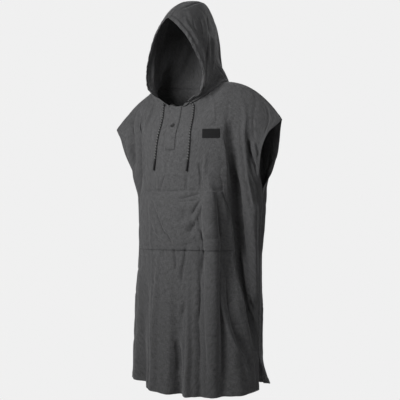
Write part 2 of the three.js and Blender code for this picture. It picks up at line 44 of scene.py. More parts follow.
# The camera stands level, to the wearer's left of the front.
CAMERA_AZIMUTH = math.radians(32)
CAMERA_DISTANCE = 3.0
CAMERA_HEIGHT = -0.448
CAMERA_ASIDE = 0.019
CAMERA_LENS = 77.8
CAMERA_SHIFT = 0.0375
toward = Vector((math.sin(CAMERA_AZIMUTH), -math.cos(CAMERA_AZIMUTH), 0))
rightward = Vector((math.cos(CAMERA_AZIMUTH), math.sin(CAMERA_AZIMUTH), 0))
camera = bpy.data.objects.new("camera", bpy.data.cameras.new("camera"))
scene.collection.objects.link(camera)
camera.location = toward * CAMERA_DISTANCE + rightward * CAMERA_ASIDE + Vector((0, 0, CAMERA_HEIGHT))
camera.rotation_euler = (HALF_TURN, 0, CAMERA_AZIMUTH)
camera.data.lens = CAMERA_LENS
camera.data.shift_y = CAMERA_SHIFT
scene.camera = camera


def clamp(value, low, high):
    return np.minimum(np.maximum(value, low), high)


def mix(a, b, t):
    return a + (b - a) * t


def smooth(start, end, value):
    t = clamp((value - start) / (end - start), 0, 1)
    return t * t * (3 - 2 * t)


def bell(t):
    return np.where(np.abs(t) < 1, (1 + np.cos(np.pi * clamp(t, -1, 1))) / 2, 0)


def unit(vectors):
    return vectors / np.maximum(np.linalg.norm(vectors, axis=-1, keepdims=True), 1e-12)


def through_three(values, t):
    a, b, c = values
    return a * (1 - t) * (1 - 2 * t) + 4 * b * t * (1 - t) + c * t * (2 * t - 1)


def along(rows, column, place):
    """The value of one column at places, on a smooth curve through the rows without overshoot."""
    x = np.array([row[0] for row in rows], float)
    y = np.array([row[column] for row in rows], float)
    place = np.asarray(place, float)
    if x[0] > x[-1]:
        x, place = -x, -place
    step = np.diff(x)
    rise = np.diff(y) / step
    slope = np.zeros_like(y)
    both = rise[:-1] * rise[1:] > 0
    slope[1:-1][both] = 2 * rise[:-1][both] * rise[1:][both] / (rise[:-1][both] + rise[1:][both])
    place = clamp(place, x[0], x[-1])
    i = clamp(np.searchsorted(x, place, side="right") - 1, 0, len(step) - 1).astype(int)
    s = (place - x[i]) / step[i]
    return (
        y[i] * (1 + 2 * s) * (1 - s) ** 2
        + slope[i] * step[i] * s * (1 - s) ** 2
        + y[i + 1] * s * s * (3 - 2 * s)
        + slope[i + 1] * step[i] * s * s * (s - 1)
    )


def noise(x, y, seed):
    """Smooth noise from -1 to 1 with cells one unit wide."""
    table = np.random.default_rng(seed).uniform(-1, 1, (256, 256))
    xi, yi = np.floor(x).astype(int), np.floor(y).astype(int)
    fx, fy = x - xi, y - yi
    fx, fy = fx**3 * (fx * (6 * fx - 15) + 10), fy**3 * (fy * (6 * fy - 15) + 10)

    def at(i, j):
        return table[(xi + i) % 256, (yi + j) % 256]

    return mix(mix(at(0, 0), at(1, 0), fx), mix(at(0, 1), at(1, 1), fx), fy)


def curve_through(points, per_span):
    """Points on a smooth curve through the given ones."""
    points = np.array(points, float)
    ends = np.concatenate([[2 * points[0] - points[1]], points, [2 * points[-1] - points[-2]]])
    made = []
    for a, b, c, d in zip(ends, ends[1:], ends[2:], ends[3:]):
        for t in np.arange(per_span) / per_span:
            made.append(b + 0.5 * t * (c - a + t * (2 * a - 5 * b + 4 * c - d + t * (3 * (b - c) + d - a))))
    made.append(points[-1])
    return np.array(made)


class Nodes:
    """A short way to build a material's nodes."""

    def __init__(self, name):
        self.material = bpy.data.materials.new(name)
        self.material.use_nodes = True
        self.tree = self.material.node_tree
        self.shader = self.tree.nodes["Principled BSDF"]

    def add(self, kind, inputs=None, **settings):
        node = self.tree.nodes.new(kind)
        for key, value in settings.items():
            setattr(node, key, value)
        for key, value in (inputs or {}).items():
            if isinstance(value, bpy.types.NodeSocket):
                self.tree.links.new(value, node.inputs[key])
            else:
                node.inputs[key].default_value = value
        return node

    def math(self, operation, a, b=0.0, c=0.0):
        return self.add("ShaderNodeMath", {0: a, 1: b, 2: c}, operation=operation).outputs[0]

    def uneven(self, **inputs):
        return self.add("ShaderNodeTexNoise", inputs).outputs["Fac"]

    def bump(self, height, distance):
        return self.add("ShaderNodeBump", {"Height": height, "Distance": distance}).outputs["Normal"]

    def ramp(self, factor, stops):
        node = self.add("ShaderNodeValToRGB", {"Fac": factor})
        elements = node.color_ramp.elements
        while len(elements) < len(stops):
            elements.new(0.5)
        for element, (place, shade) in zip(elements, stops):
            element.position = place
            element.color = (*shade, 1)
        return node.outputs["Color"]

    def set(self, **values):
        for key, value in values.items():
            socket = self.shader.inputs[key.replace("_", " ")]
            if isinstance(value, bpy.types.NodeSocket):
                self.tree.links.new(value, socket)
            else:
                socket.default_value = value


def woven(name, shade, thread, contrast, rough, relief):
    """Plain-woven cloth: crossing threads, uneven yarns and a soft mottle."""
    made = Nodes(name)
    cloth = made.add("ShaderNodeUVMap", uv_map="cloth").outputs["UV"]
    waves = []
    for direction in ("X", "Y"):
        inputs = {"Vector": cloth, "Scale": 0.314 / thread, "Distortion": 0.6, "Detail": 1.0}
        waves.append(made.add("ShaderNodeTexWave", inputs, bands_direction=direction).outputs["Fac"])
    weave = made.math("MAXIMUM", waves[0], waves[1])
    yarns = []
    for scale in ((460.0, 80.0, 1.0), (80.0, 460.0, 1.0)):
        place = made.add("ShaderNodeMapping", {"Vector": cloth, "Scale": scale}).outputs["Vector"]
        yarns.append(made.uneven(Vector=place, Scale=1.0))
    yarn = made.math("ADD", yarns[0], yarns[1])
    mottle = made.uneven(Vector=cloth, Scale=80.0, Detail=4.0)
    tone = made.math("MULTIPLY_ADD", yarn, 0.4, made.math("MULTIPLY", mottle, 0.25))
    low = tuple(c * (1 - contrast) for c in shade)
    high = tuple(c * (1 + contrast) for c in shade)
    colour = made.ramp(tone, [(0.35, low), (0.7, high)])
    height = made.math("MULTIPLY_ADD", weave, 0.5, made.math("MULTIPLY", yarn, 0.6))
    made.set(Base_Color=colour, Roughness=rough, Normal=made.bump(height, relief), Specular_IOR_Level=0.25)
    made.set(Sheen_Weight=0.3, Sheen_Roughness=0.4, Sheen_Tint=(0.8, 0.8, 0.82, 1))
    return made.material


FLECK_STEP, STRAND_STEP = 0.0093, 0.0045


def braided(name):
    """A black braid with pale flecks at even steps."""
    made = Nodes(name)
    flat = made.add("ShaderNodeUVMap", uv_map="cloth").outputs["UV"]
    axes = made.add("ShaderNodeSeparateXYZ", {"Vector": flat})
    around, length = axes.outputs["X"], axes.outputs["Y"]
    sway = made.math("MULTIPLY", made.math("SINE", made.math("MULTIPLY", around, WHOLE_TURN)), 0.12)
    turned = made.math("MULTIPLY_ADD", length, 1 / FLECK_STEP, sway)
    tracer = made.math("FRACT", turned)
    black, pale = (0.003, 0.003, 0.004), (0.2, 0.2, 0.2)
    colour = made.ramp(tracer, [(0.0, black), (0.58, black), (0.61, pale), (0.97, pale), (1.0, black)])
    strands = []
    for way in (5.0, -5.0):
        slope = made.math("MULTIPLY", around, way)
        turn = made.math("MULTIPLY_ADD", length, 1 / STRAND_STEP, slope)
        strands.append(made.math("SINE", made.math("MULTIPLY", turn, WHOLE_TURN)))
    braid = made.math("MAXIMUM", strands[0], strands[1])
    made.set(Base_Color=colour, Roughness=0.75, Normal=made.bump(braid, 0.0003))
    return made.material


def moulded(name, shade, rough, grain):
    """A plain even stuff with a faint mottle."""
    made = Nodes(name)
    mottle = made.uneven(Scale=grain, Detail=3.0)
    colour = made.ramp(mottle, [(0.3, tuple(0.8 * c for c in shade)), (0.7, tuple(1.2 * c for c in shade))])
    made.set(Base_Color=colour, Roughness=rough, Normal=made.bump(mottle, 0.00005))
    return made.material


MATERIALS = {
    "shell": woven("shell_cloth", (0.087, 0.087, 0.089), 0.0009, 0.45, 0.9, 0.0004),
    "patch": woven("patch_cloth", (0.007, 0.007, 0.0075), 0.0005, 0.2, 0.8, 0.0001),
    "cord": braided("cord_braid"),
    "tip": moulded("tip_plastic", (0.008, 0.008, 0.009), 0.45, 300.0),
    "button": moulded("button_plastic", (0.016, 0.016, 0.017), 0.5, 900.0),
    "thread": moulded("sewing_thread", (0.07, 0.07, 0.072), 0.8, 2000.0),
}


def add_mesh(name, points, faces, flat, slot, finish=None):
    """A shaded mesh on the root body. flat gives each vertex its place on the cloth in metres."""
    mesh = bpy.data.meshes.new(name)
    mesh.from_pydata([tuple(p) for p in np.asarray(points).tolist()], [], faces)
    loops = np.empty(len(mesh.loops), int)
    mesh.loops.foreach_get("vertex_index", loops)
    layer = mesh.uv_layers.new(name="cloth")
    layer.data.foreach_set("uv", np.asarray(flat, float)[loops].ravel())
    mesh.polygons.foreach_set("use_smooth", np.ones(len(mesh.polygons), bool))
    mesh.materials.append(MATERIALS[finish or slot])
    mesh.update()
    thing = bpy.data.objects.new(name, mesh)
    scene.collection.objects.link(thing)
    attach(thing, "root")
    return thing


def run_along(grid, axis):
    """Distances along the cloth from the first row or column."""
    step = np.linalg.norm(np.diff(grid, axis=axis), axis=-1)
    first = np.zeros_like(grid[..., 0]).take([0], axis=axis)
    return np.concatenate([first, np.cumsum(step, axis=axis)], axis=axis)


def circle(across, up, angles):
    return across * np.cos(angles)[:, None] + up * np.sin(angles)[:, None]


def tube(name, centres, radius, sides, slot, finish=None):
    """A closed tube round a line of points."""
    centres = np.asarray(centres, float)
    heading = unit(np.gradient(centres, axis=0))
    across = unit(np.cross(heading, [1.0, 0.2, 0.1]))
    other = np.cross(heading, across)
    angles = np.linspace(0, WHOLE_TURN, sides + 1)
    ring = circle(across[:, None], other[:, None], angles)
    points = (centres[:, None] + np.asarray(radius).reshape(-1, 1, 1) * ring).reshape(-1, 3)
    gone = run_along(centres[:, None], 0)
    flat = np.stack(np.broadcast_arrays(angles[None, :] / WHOLE_TURN, gone), -1).reshape(-1, 2)
    index = np.arange(len(points)).reshape(len(centres), sides + 1)
    a, b, c, d = index[:-1, :-1], index[1:, :-1], index[1:, 1:], index[:-1, 1:]
    faces = np.stack([a, d, c, b], -1).reshape(-1, 4).tolist()
    faces += [index[0, :-1][::-1].tolist(), index[-1, :-1].tolist()]
    return add_mesh(name, points, faces, flat, slot, finish)


# The drawcord's free ends, by the same points as the solids' route, each with its tip below
CORD_RADIUS = 0.0026
TIP_RADIUS, TIP_LENGTH, SEAM_GAP = 0.00325, 0.036, 0.0003
CORD_ROUTES = {
    "left": [
        (0.0505, -0.1147, -0.0691), (0.0628, -0.1077, -0.0809), (0.0675, -0.1154, -0.1037),
        (0.0715, -0.1259, -0.1268), (0.0744, -0.1384, -0.1500), (0.0764, -0.1492, -0.1742),
        (0.0766, -0.1527, -0.1982), (0.0750, -0.1530, -0.2216), (0.0721, -0.1522, -0.2450),
        (0.0686, -0.1512, -0.2682),
    ],
    "right": [
        (-0.0473, -0.1160, -0.0696), (-0.0556, -0.1087, -0.0790), (-0.0527, -0.1164, -0.1014),
        (-0.0503, -0.1258, -0.1239), (-0.0490, -0.1366, -0.1466), (-0.0490, -0.1475, -0.1698),
        (-0.0505, -0.1538, -0.1932), (-0.0535, -0.1557, -0.2165), (-0.0572, -0.1544, -0.2395),
        (-0.0615, -0.1524, -0.2622),
    ],
}
for side, route in CORD_ROUTES.items():
    line = curve_through(route, 12)
    cord = tube(f"cord_{side}_braid", line, np.full(len(line), CORD_RADIUS), 14, "cord")
    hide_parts(f"cord_{side}")
    heading = unit(line[-1] - line[-2])
    profile = [(0, 0.75), (0.0004, 0.75), (0.0016, 1), (0.008, 1), (0.009, 0.94), (0.010, 1), (0.033, 1)]
    profile += [(0.0348, 0.85), (TIP_LENGTH, 0.5)]
    places = [line[-1] + heading * (SEAM_GAP + gone) for gone, _ in profile]
    widths = [TIP_RADIUS * wide for _, wide in profile]
    tip = tube(f"cord_{side}_tip", places, np.array(widths), 20, "tip")
    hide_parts(f"cord_tip_{side}")

# Driving sizes, the same as the solids'
CLOTH = 0.0016
NECK_HALF_WIDTH = 0.135
NECK_FRONT = 0.112
NECK_BACK = 0.088
NECK_MIDDLE_Y = -0.012
NECK_DROP = 0.084
NAPE_RISE = 0.008
TIP_X, TIP_Z = 0.336, -0.132
SHOULDER_CURVE_LEFT, SHOULDER_CURVE_RIGHT = 2, 1.3
NECK_SHARE = 0.36
UNDERARM_Z = -0.372
POCKET_BOTTOM_Z = -0.565
SLIT_TOP_Z = -0.916
HEM_Z = -1.045
PLACKET_BOTTOM_Z = -0.232
PLACKET_LENGTH = -NECK_DROP - PLACKET_BOTTOM_Z
HEM_DEEP, ARMHOLE_DEEP, SLIT_DEEP, STITCH_IN = 0.022, 0.018, 0.014, 0.0025
CREASE_STEPS = 8

# z, half width, shift to the left, middle, front depth, back depth, gathered share, armhole gap
HALF, SHIFT, MIDDLE, FRONT_DEPTH, BACK_DEPTH, GATHERED, GAP = range(1, 8)
BODY_SECTIONS = [
    (0, 0.336, 0, 0, 0.118, 0.108, 0, 0),
    (-0.06, 0.336, 0, 0, 0.126, 0.116, 0, 0),
    (-0.132, 0.336, 0, 0, 0.142, 0.126, 0.04, 0.004),
    (-0.18, 0.298, 0.01, 0.003, 0.156, 0.132, 0.3, 0.044),
    (-0.235, 0.274, 0.016, 0.006, 0.16, 0.134, 0.52, 0.058),
    (-0.3, 0.254, 0.02, 0.009, 0.16, 0.13, 0.74, 0.046),
    (-0.372, 0.24, 0.02, 0.01, 0.158, 0.126, 0.9, 0),
    (-0.55, 0.229, 0.018, 0.01, 0.158, 0.13, 1, 0),
    (-0.75, 0.236, 0.011, 0.01, 0.164, 0.138, 1, 0),
    (-0.916, 0.238, 0.008, 0.01, 0.166, 0.143, 1, 0),
    (-1.045, 0.241, 0.006, 0.01, 0.169, 0.148, 1, 0),
]
# name, top, bottom, then at the top, middle and bottom: share of the half width, half width and height
FRONT_FOLDS = [
    ("left_arm_valley", -0.095, -0.9, (0.57, 0.735, 0.97), (0.03, 0.033, 0.022), (-0.006, -0.05, -0.004)),
    ("left_flange", -0.19, -0.76, (0.83, 0.87, 0.98), (0.026, 0.028, 0.02), (0, 0.012, 0)),
    ("left_sleeve_crease", -0.165, -0.44, (0.76, 0.83, 0.92), (0.02, 0.024, 0.022), (0, -0.016, 0)),
    ("right_arm_valley", -0.06, -0.43, (-0.52, -0.57, -0.62), (0.024, 0.028, 0.024), (0, -0.038, 0)),
    ("right_flange", -0.12, -0.4, (-0.74, -0.74, -0.78), (0.024, 0.026, 0.024), (0, 0.01, 0)),
    ("right_neck_crease", -0.055, -0.23, (-0.4, -0.39, -0.37), (0.012, 0.013, 0.012), (0, -0.007, 0)),
    ("chest_crease", -0.27, -0.372, (0.28, 0.31, 0.33), (0.009, 0.01, 0.008), (0, -0.006, 0)),
    ("pocket_ridge", -0.3, -1.06, (0.36, 0.42, 0.42), (0.022, 0.024, 0.026), (0.002, 0.013, 0.009)),
    ("pocket_valley", -0.47, -1.06, (0.31, 0.29, 0.3), (0.011, 0.016, 0.022), (0, -0.011, -0.012)),
    ("middle_ridge", -0.64, -1.06, (0.2, 0.185, 0.18), (0.013, 0.016, 0.018), (0, 0.01, 0.015)),
    ("middle_valley", -0.57, -1.06, (0.05, 0.055, 0.065), (0.016, 0.028, 0.034), (0, -0.012, -0.042)),
    ("right_ridge", -0.52, -1.06, (-0.15, -0.18, -0.2), (0.013, 0.02, 0.026), (0, 0.009, 0.008)),
    ("right_valley", -0.59, -1.06, (-0.36, -0.4, -0.43), (0.026, 0.044, 0.062), (0, -0.014, -0.046)),
    ("outer_right_ridge", -0.64, -1.06, (-0.7, -0.72, -0.74), (0.022, 0.026, 0.03), (0, 0.003, 0.006)),
    ("slanting_ridge", -0.6, -1.05, (0.52, 0.6, 0.72), (0.024, 0.03, 0.03), (0, 0.011, 0.009)),
    ("slanting_valley", -0.56, -1.05, (0.42, 0.47, 0.53), (0.022, 0.026, 0.028), (0, -0.01, -0.012)),
]
BACK_FOLDS = [
    ("left_blade_valley", -0.09, -0.76, (0.56, 0.63, 0.8), (0.026, 0.032, 0.024), (0, -0.034, -0.006)),
    ("left_back_flange", -0.18, -0.62, (0.8, 0.85, 0.93), (0.022, 0.026, 0.018), (0, 0.01, 0)),
    ("right_blade_valley", -0.08, -0.7, (-0.54, -0.6, -0.76), (0.026, 0.031, 0.024), (0, -0.036, -0.004)),
    ("right_back_flange", -0.17, -0.56, (-0.78, -0.82, -0.9), (0.022, 0.025, 0.02), (0, 0.009, 0)),
    ("spine_valley", -0.33, -1.05, (-0.02, 0.03, 0.06), (0.018, 0.026, 0.026), (0, -0.012, -0.016)),
    ("spine_ridge_left", -0.42, -1.05, (0.2, 0.22, 0.24), (0.02, 0.024, 0.026), (0, 0.01, 0.015)),
    ("spine_ridge_right", -0.38, -1.05, (-0.2, -0.2, -0.19), (0.02, 0.024, 0.026), (0, 0.009, 0.014)),
    ("outer_left_valley", -0.56, -1.05, (0.42, 0.44, 0.46), (0.02, 0.024, 0.026), (0, -0.013, -0.018)),
    ("outer_right_valley", -0.52, -1.05, (-0.4, -0.42, -0.45), (0.02, 0.024, 0.026), (0, -0.012, -0.02)),
    ("outer_left_ridge", -0.6, -1.05, (0.66, 0.66, 0.68), (0.02, 0.024, 0.026), (0, 0.008, 0.012)),
    ("outer_right_ridge", -0.6, -1.05, (-0.66, -0.67, -0.7), (0.02, 0.024, 0.026), (0, 0.008, 0.011)),
]
# z, then shares of the half width: placket, left pocket, right pocket, left valley, right valley
FRONT_LINES = [
    (-0.084, 0.034, 0.42, 0.36, 0.56, 0.52),
    (-0.232, 0.043, 0.44, 0.38, 0.62, 0.56),
    (-0.372, 0.052, 0.49, 0.4, 0.67, 0.6),
    (-0.505, 0.053, 0.64, 0.58, 0.735, 0.7),
    (-0.565, 0.053, 0.65, 0.59, 0.755, 0.72),
    (-0.728, 0.053, 0.66, 0.6, 0.83, 0.76),
    (-0.9, 0.053, 0.66, 0.6, 0.9, 0.8),
    (-1.045, 0.053, 0.66, 0.6, 0.9, 0.8),
]
# Creases too fine for the solids, in millimetres. Each has a half width, a height and points that it goes
# through: the distance from the panel's middle line along the cloth, to the wearer's left, and the level.
# It fades at both ends, and a tuck only at its last point, as it comes out from under a seam.
FRONT_CREASES = [
    # chest
    ("arm_valley_core", 16, -14, 215, -190, 221, -240, 251, -312, 272, -380, 290, -456, 306, -527,
     322, -598, 334, -680),
    ("sleeve_ridge", 12, 8, 248, -40, 276, -120, 286, -190, 298, -275, 319, -310, 338, -348, 352, -400,
     350, -440),
    ("sleeve_valley", 11, -9, 262, -120, 272, -190, 284, -260, 300, -320, 318, -385, 332, -420,
     346, -445),
    ("underarm_roll", 10, 6, 320, -200, 330, -235, 340, -260),
    ("right_arm_core", 28, -26, -225, 0, -245, -60, -268, -120, -276, -190, -270, -260, -258, -330),
    ("right_arm_floor", 56, -22, -200, -60, -190, -140, -184, -220, -178, -300, -172, -400),
    ("right_arm_lip", 14, 7, -150, -40, -138, -100, -132, -160, -129, -230, -128, -300, -126, -380),
    ("right_sleeve_line", 10, -6, -345, -150, -335, -200, -315, -270),
    ("right_sleeve_ridge", 20, 8, -310, -80, -318, -150, -312, -220, -295, -300),
    ("right_side_line", 8, -4, -200, -330, -205, -400, -200, -470),
    ("right_neck_line", 5, -3.5, -172, -70, -158, -100, -144, -130),
    ("chest_line", 8, -6, 109, -270, 112, -320, 110, -376),
    ("chest_lift", 11, 5, 137, -237, 128, -310, 120, -376),
    ("cord_foot_line", 14, -6, 68, -290, 62, -330, 58, -376),
    ("middle_line", 7, -5, -22, -315, -33, -335, -48, -378),
    ("middle_lift", 8, 4, -50, -300, -56, -378),
    ("right_chest_lift", 20, 3, -100, -120, -110, -200, -105, -300, -100, -370),
    # pocket
    ("pocket_sweep", 10, -9, -82, -380, -66, -432, -45, -472, -30, -500, -12, -515, 4, -540, 14, -562),
    ("pocket_sweep_lift", 12, 5, -98, -385, -86, -440, -66, -490, -50, -520),
    ("pocket_second_sweep", 10, -4, -90, -470, -60, -520, -20, -555),
    ("pocket_mouth_line", 9, -6, 116, -374, 100, -380, 72, -388, 45, -394, 10, -396),
    ("pocket_mouth_second", 10, -4, 106, -400, 80, -401, 45, -404, 10, -410),
    ("pocket_diagonal", 11, -7, 114, -395, 100, -415, 86, -436, 70, -458),
    ("pocket_diagonal_lift", 13, 8, 125, -400, 108, -430, 90, -460, 82, -480),
    ("pocket_dent_upper", 22, -6, 58, -425, 50, -450, 52, -475),
    ("pocket_dent_lower", 26, -9, 94, -470, 80, -492, 66, -515),
    ("pocket_dent_foot", 18, -4, 40, -550, 65, -545, 90, -540),
    ("pocket_crumple", 8, 6, 90, -448, 100, -475, 96, -510),
    ("pocket_ridge_crest", 13, 7, 132, -360, 137, -420, 145, -480, 153, -560),
    ("pocket_ridge_foot", 9, -13, 112, -480, 116, -520, 124, -550, 118, -600, 119, -650),
    ("pocket_flank", 16, -8, 163, -360, 166, -420, 169, -470, 177, -520, 186, -600),
    ("side_fall", 85, -22, 210, -220, 220, -340, 228, -420, 238, -500, 250, -580, 262, -660, 280, -760),
    ("pocket_flank_lift", 12, 5, 188, -390, 194, -430, 203, -480),
    ("pocket_side_line", 5, -2, -104, -385, -102, -460, -98, -550),
    # skirt
    ("right_edge", 7, 4.5, -92, -375, -88, -500, -83.5, -620, -83, -736, -80, -860, -70, -1010),
    ("first_ridge", 36, 9, 100, -570, 105, -680, 113, -780, 123, -860, 145, -950, 165, -1080),
    ("band_crest", 60, 27, 136, -260, 144, -340, 150, -450, 155, -560, 164, -700, 175, -820, 193, -950,
     213, -1120),
    ("front_corner", 14, 10, 172, -560, 180, -620, 193, -687, 211, -748, 234, -812, 272, -876,
     312, -920, 345, -988, 352, -1050),
    ("front_corner_valley", 34, -18, 196, -560, 206, -640, 226, -720, 250, -790, 285, -850, 325, -900,
     360, -970),
    ("side_corner", 10, 7, 280, -506, 310, -598, 331, -698, 345, -750, 366, -800, 378, -860),
    ("side_pull", 10, 7, 335, -700, 350, -718, 362, -745),
    ("side_pull_valley", 11, -8, 335, -725, 350, -745, 360, -780),
    ("middle_dent_one", 18, -8, 62, -720, 45, -800, 50, -860),
    ("middle_dent_two", 18, -9, 20, -860, 35, -920, 30, -990),
    ("middle_dent_three", 20, -4, 75, -920, 72, -970, 78, -1030),
    ("right_face_valley", 30, -9, -110, -620, -115, -760, -110, -920, -100, -1050),
    ("right_face_ridge", 30, 4, -160, -600, -165, -800, -165, -1050),
    # pressed folds from packing
    ("pressed_upper", 4.5, 1.1, -78, -741, 0, -740.5, 78, -742),
    ("pressed_lower", 4.5, -1.4, 125, -845, 170, -840, 230, -841),
    ("pressed_low_line", 4.5, 1.1, 100, -930, 160, -926, 220, -928),
    ("pressed_upright", 4.5, 1.1, 116, -780, 120, -860, 128, -940),
]
FRONT_TUCKS = [
    ("underarm_tuck", 9, -14, 303, -212, 309, -240, 320, -268, 336, -295, 350, -325),
    ("placket_foot_left", 6, -4, 4, -234, -2, -250, -10, -268),
    ("placket_foot_right", 5, -2.8, 12, -234, 20, -250, 22, -270),
    ("neck_drag_left", 10, -3, 75, -72, 90, -110, 95, -150),
    ("neck_drag_side", 14, 4, 130, -45, 160, -80, 185, -130),
    ("neck_drag_right", 10, -3, -80, -72, -90, -110, -88, -150),
    ("gather_middle", 10, -10, 56, -567, 52, -600, 43, -640, 42, -700),
    ("gather_right", 9, -6, 14, -567, 18, -600, 20, -640),
    ("gather_far_right", 8, -4, -30, -567, -26, -610),
    ("gather_left", 9, -8, 122, -567, 121, -610, 119, -660),
    ("hem_pull_left", 7, -2, 200, -1043, 204, -1020, 212, -1000),
    ("hem_pull_middle", 7, -2, 150, -1043, 156, -1020, 158, -1000),
    ("hem_pull_right", 7, -2, -10, -1043, -4, -1020, -8, -990),
]
BACK_CREASES = [
    ("left_blade_pull", 11, 4, 270, -170, 230, -240, 215, -330, 220, -420),
    ("right_blade_pull", 11, 4, -280, -180, -235, -260, -220, -360),
    ("left_underarm_tuck", 9, -10, -330, -240, -310, -290, -300, -360),
    ("right_underarm_tuck", 9, -9, 330, -230, 310, -300, 305, -380),
    ("waist_sweep", 14, -4, -200, -450, -100, -530, 0, -570, 90, -560),
    ("waist_sweep_lift", 14, 3, 180, -470, 100, -530, 20, -545),
    ("left_skirt_crest", 14, 5, 130, -600, 140, -750, 150, -900, 152, -1030),
    ("right_skirt_crest", 14, 5, -140, -580, -150, -740, -148, -900, -155, -1030),
    ("left_skirt_dent", 15, -6, 80, -680, 70, -800, 85, -950),
    ("right_skirt_dent", 15, -6, -80, -620, -90, -780, -75, -970),
    ("side_sweep_left", 13, 5, 270, -420, 270, -600, 300, -780, 330, -960),
    ("side_sweep_right", 13, 5, -270, -440, -275, -620, -300, -800, -320, -970),
    ("pressed_upright", 4.5, 1, 4, -300, 2, -600, 4, -1000),
    ("pressed_level", 4.5, 1, -200, -742, 0, -740, 200, -743),
]
BACK_TUCKS = [
    ("left_neck_drag", 12, -4, 100, -20, 120, -80, 130, -150),
    ("right_neck_drag", 12, -4, -100, -20, -130, -70, -150, -140),
]


def fold_height(folds, u, z, seed):
    """How far the folds lift the cloth where a panel's share u and level z are given."""
    height = np.zeros_like(u)
    turn = u * HALF_TURN
    per_share = HALF_TURN * np.hypot(0.24 * np.cos(turn), 0.155 * np.sin(turn))
    for i, (_, top, bottom, share, wide, high) in enumerate(folds):
        t = (top - z) / (top - bottom)
        inside = (t > 0) & (t < 1)
        t = clamp(t, 0, 1)
        sway = 0.004 * noise(z * 11, np.full_like(z, 3.7 * i), seed)
        away = ((u - through_three(share, t)) * per_share + sway) / through_three(wide, t)
        ends = smooth(0, 0.12, t)
        if high[2] == 0:
            ends = ends * smooth(1, 0.85, t)
        height += np.where(inside, through_three(high, t) * bell(away) * ends, 0)
    return height


def crease_height(creases, tucks, s, z, spread=(1, 1)):
    """How far the fine creases lift the cloth at distances s from the middle line and levels z."""
    height = np.zeros_like(s)
    for i, (_, wide, high, *points) in enumerate(creases + tucks):
        line = curve_through(np.reshape(points, (-1, 2)) / MM * spread, CREASE_STEPS)
        wide = wide / MM
        low, top = line.min(axis=0) - wide, line.max(axis=0) + wide
        near = (s > low[0]) & (s < top[0]) & (z > low[1]) & (z < top[1])
        if not near.any():
            continue
        place = np.stack([s[near], z[near]], -1)
        best = np.full(len(place), 9.0)
        share = np.zeros(len(place))
        for k, (a, b) in enumerate(zip(line, line[1:])):
            span = b - a
            t = clamp((place - a) @ span / (span @ span), 0, 1)
            gap = np.linalg.norm(place - a - t[:, None] * span, axis=1)
            closer = gap < best
            best[closer] = gap[closer]
            share[closer] = (k + t[closer]) / (len(line) - 1)
        across = clamp(best / wide, 0, 1)
        profile = 0.5 * bell(across) + 0.5 * (1 - across) ** 2
        fade = smooth(0, 0.3, 1 - share)
        if i < len(creases):
            fade = fade * smooth(0, 0.3, share)
        height[near] += high / MM * profile * fade
    return height


def neck_ring(angle):
    """The neckline by its angle from the middle of the front."""
    across, ahead = np.sin(angle), np.cos(angle)
    front = np.where(ahead > 0, NECK_FRONT + NECK_MIDDLE_Y, NECK_BACK - NECK_MIDDLE_Y)
    z = np.where(ahead > 0, -NECK_DROP * clamp(ahead, 0, 1) ** 1.5, -NAPE_RISE * ahead)
    return np.stack([NECK_HALF_WIDTH * across, NECK_MIDDLE_Y - ahead * front, z], -1)


def top_edge(side, u):
    size, sign = np.abs(u), np.sign(u)
    angle = clamp(size / NECK_SHARE, 0, 1) * HALF_TURN
    neck = neck_ring(np.pi - angle if side > 0 else angle)
    t = clamp((size - NECK_SHARE) / (1 - NECK_SHARE), 0, 1)
    curve = np.where(u > 0, SHOULDER_CURVE_LEFT, SHOULDER_CURVE_RIGHT)
    shoulder = np.stack([mix(NECK_HALF_WIDTH, TIP_X, t), mix(NECK_MIDDLE_Y, 0, t), TIP_Z * t**curve], -1)
    edge = np.where((size <= NECK_SHARE)[..., None], neck, shoulder)
    edge[..., 0] *= sign
    return edge


def eased_edge(side, u, ease):
    """The top edge with its corner at the side of the neck eased, as the cloth below it hangs."""
    reach = 0.16 * smooth(0, 1, ease) * smooth(0.05, 0.25, np.abs(u)) * smooth(1, 0.8, np.abs(u))
    return sum(top_edge(side, u + step * reach) for step in (-1, -0.6, -0.3, 0, 0.3, 0.6, 1)) / 7


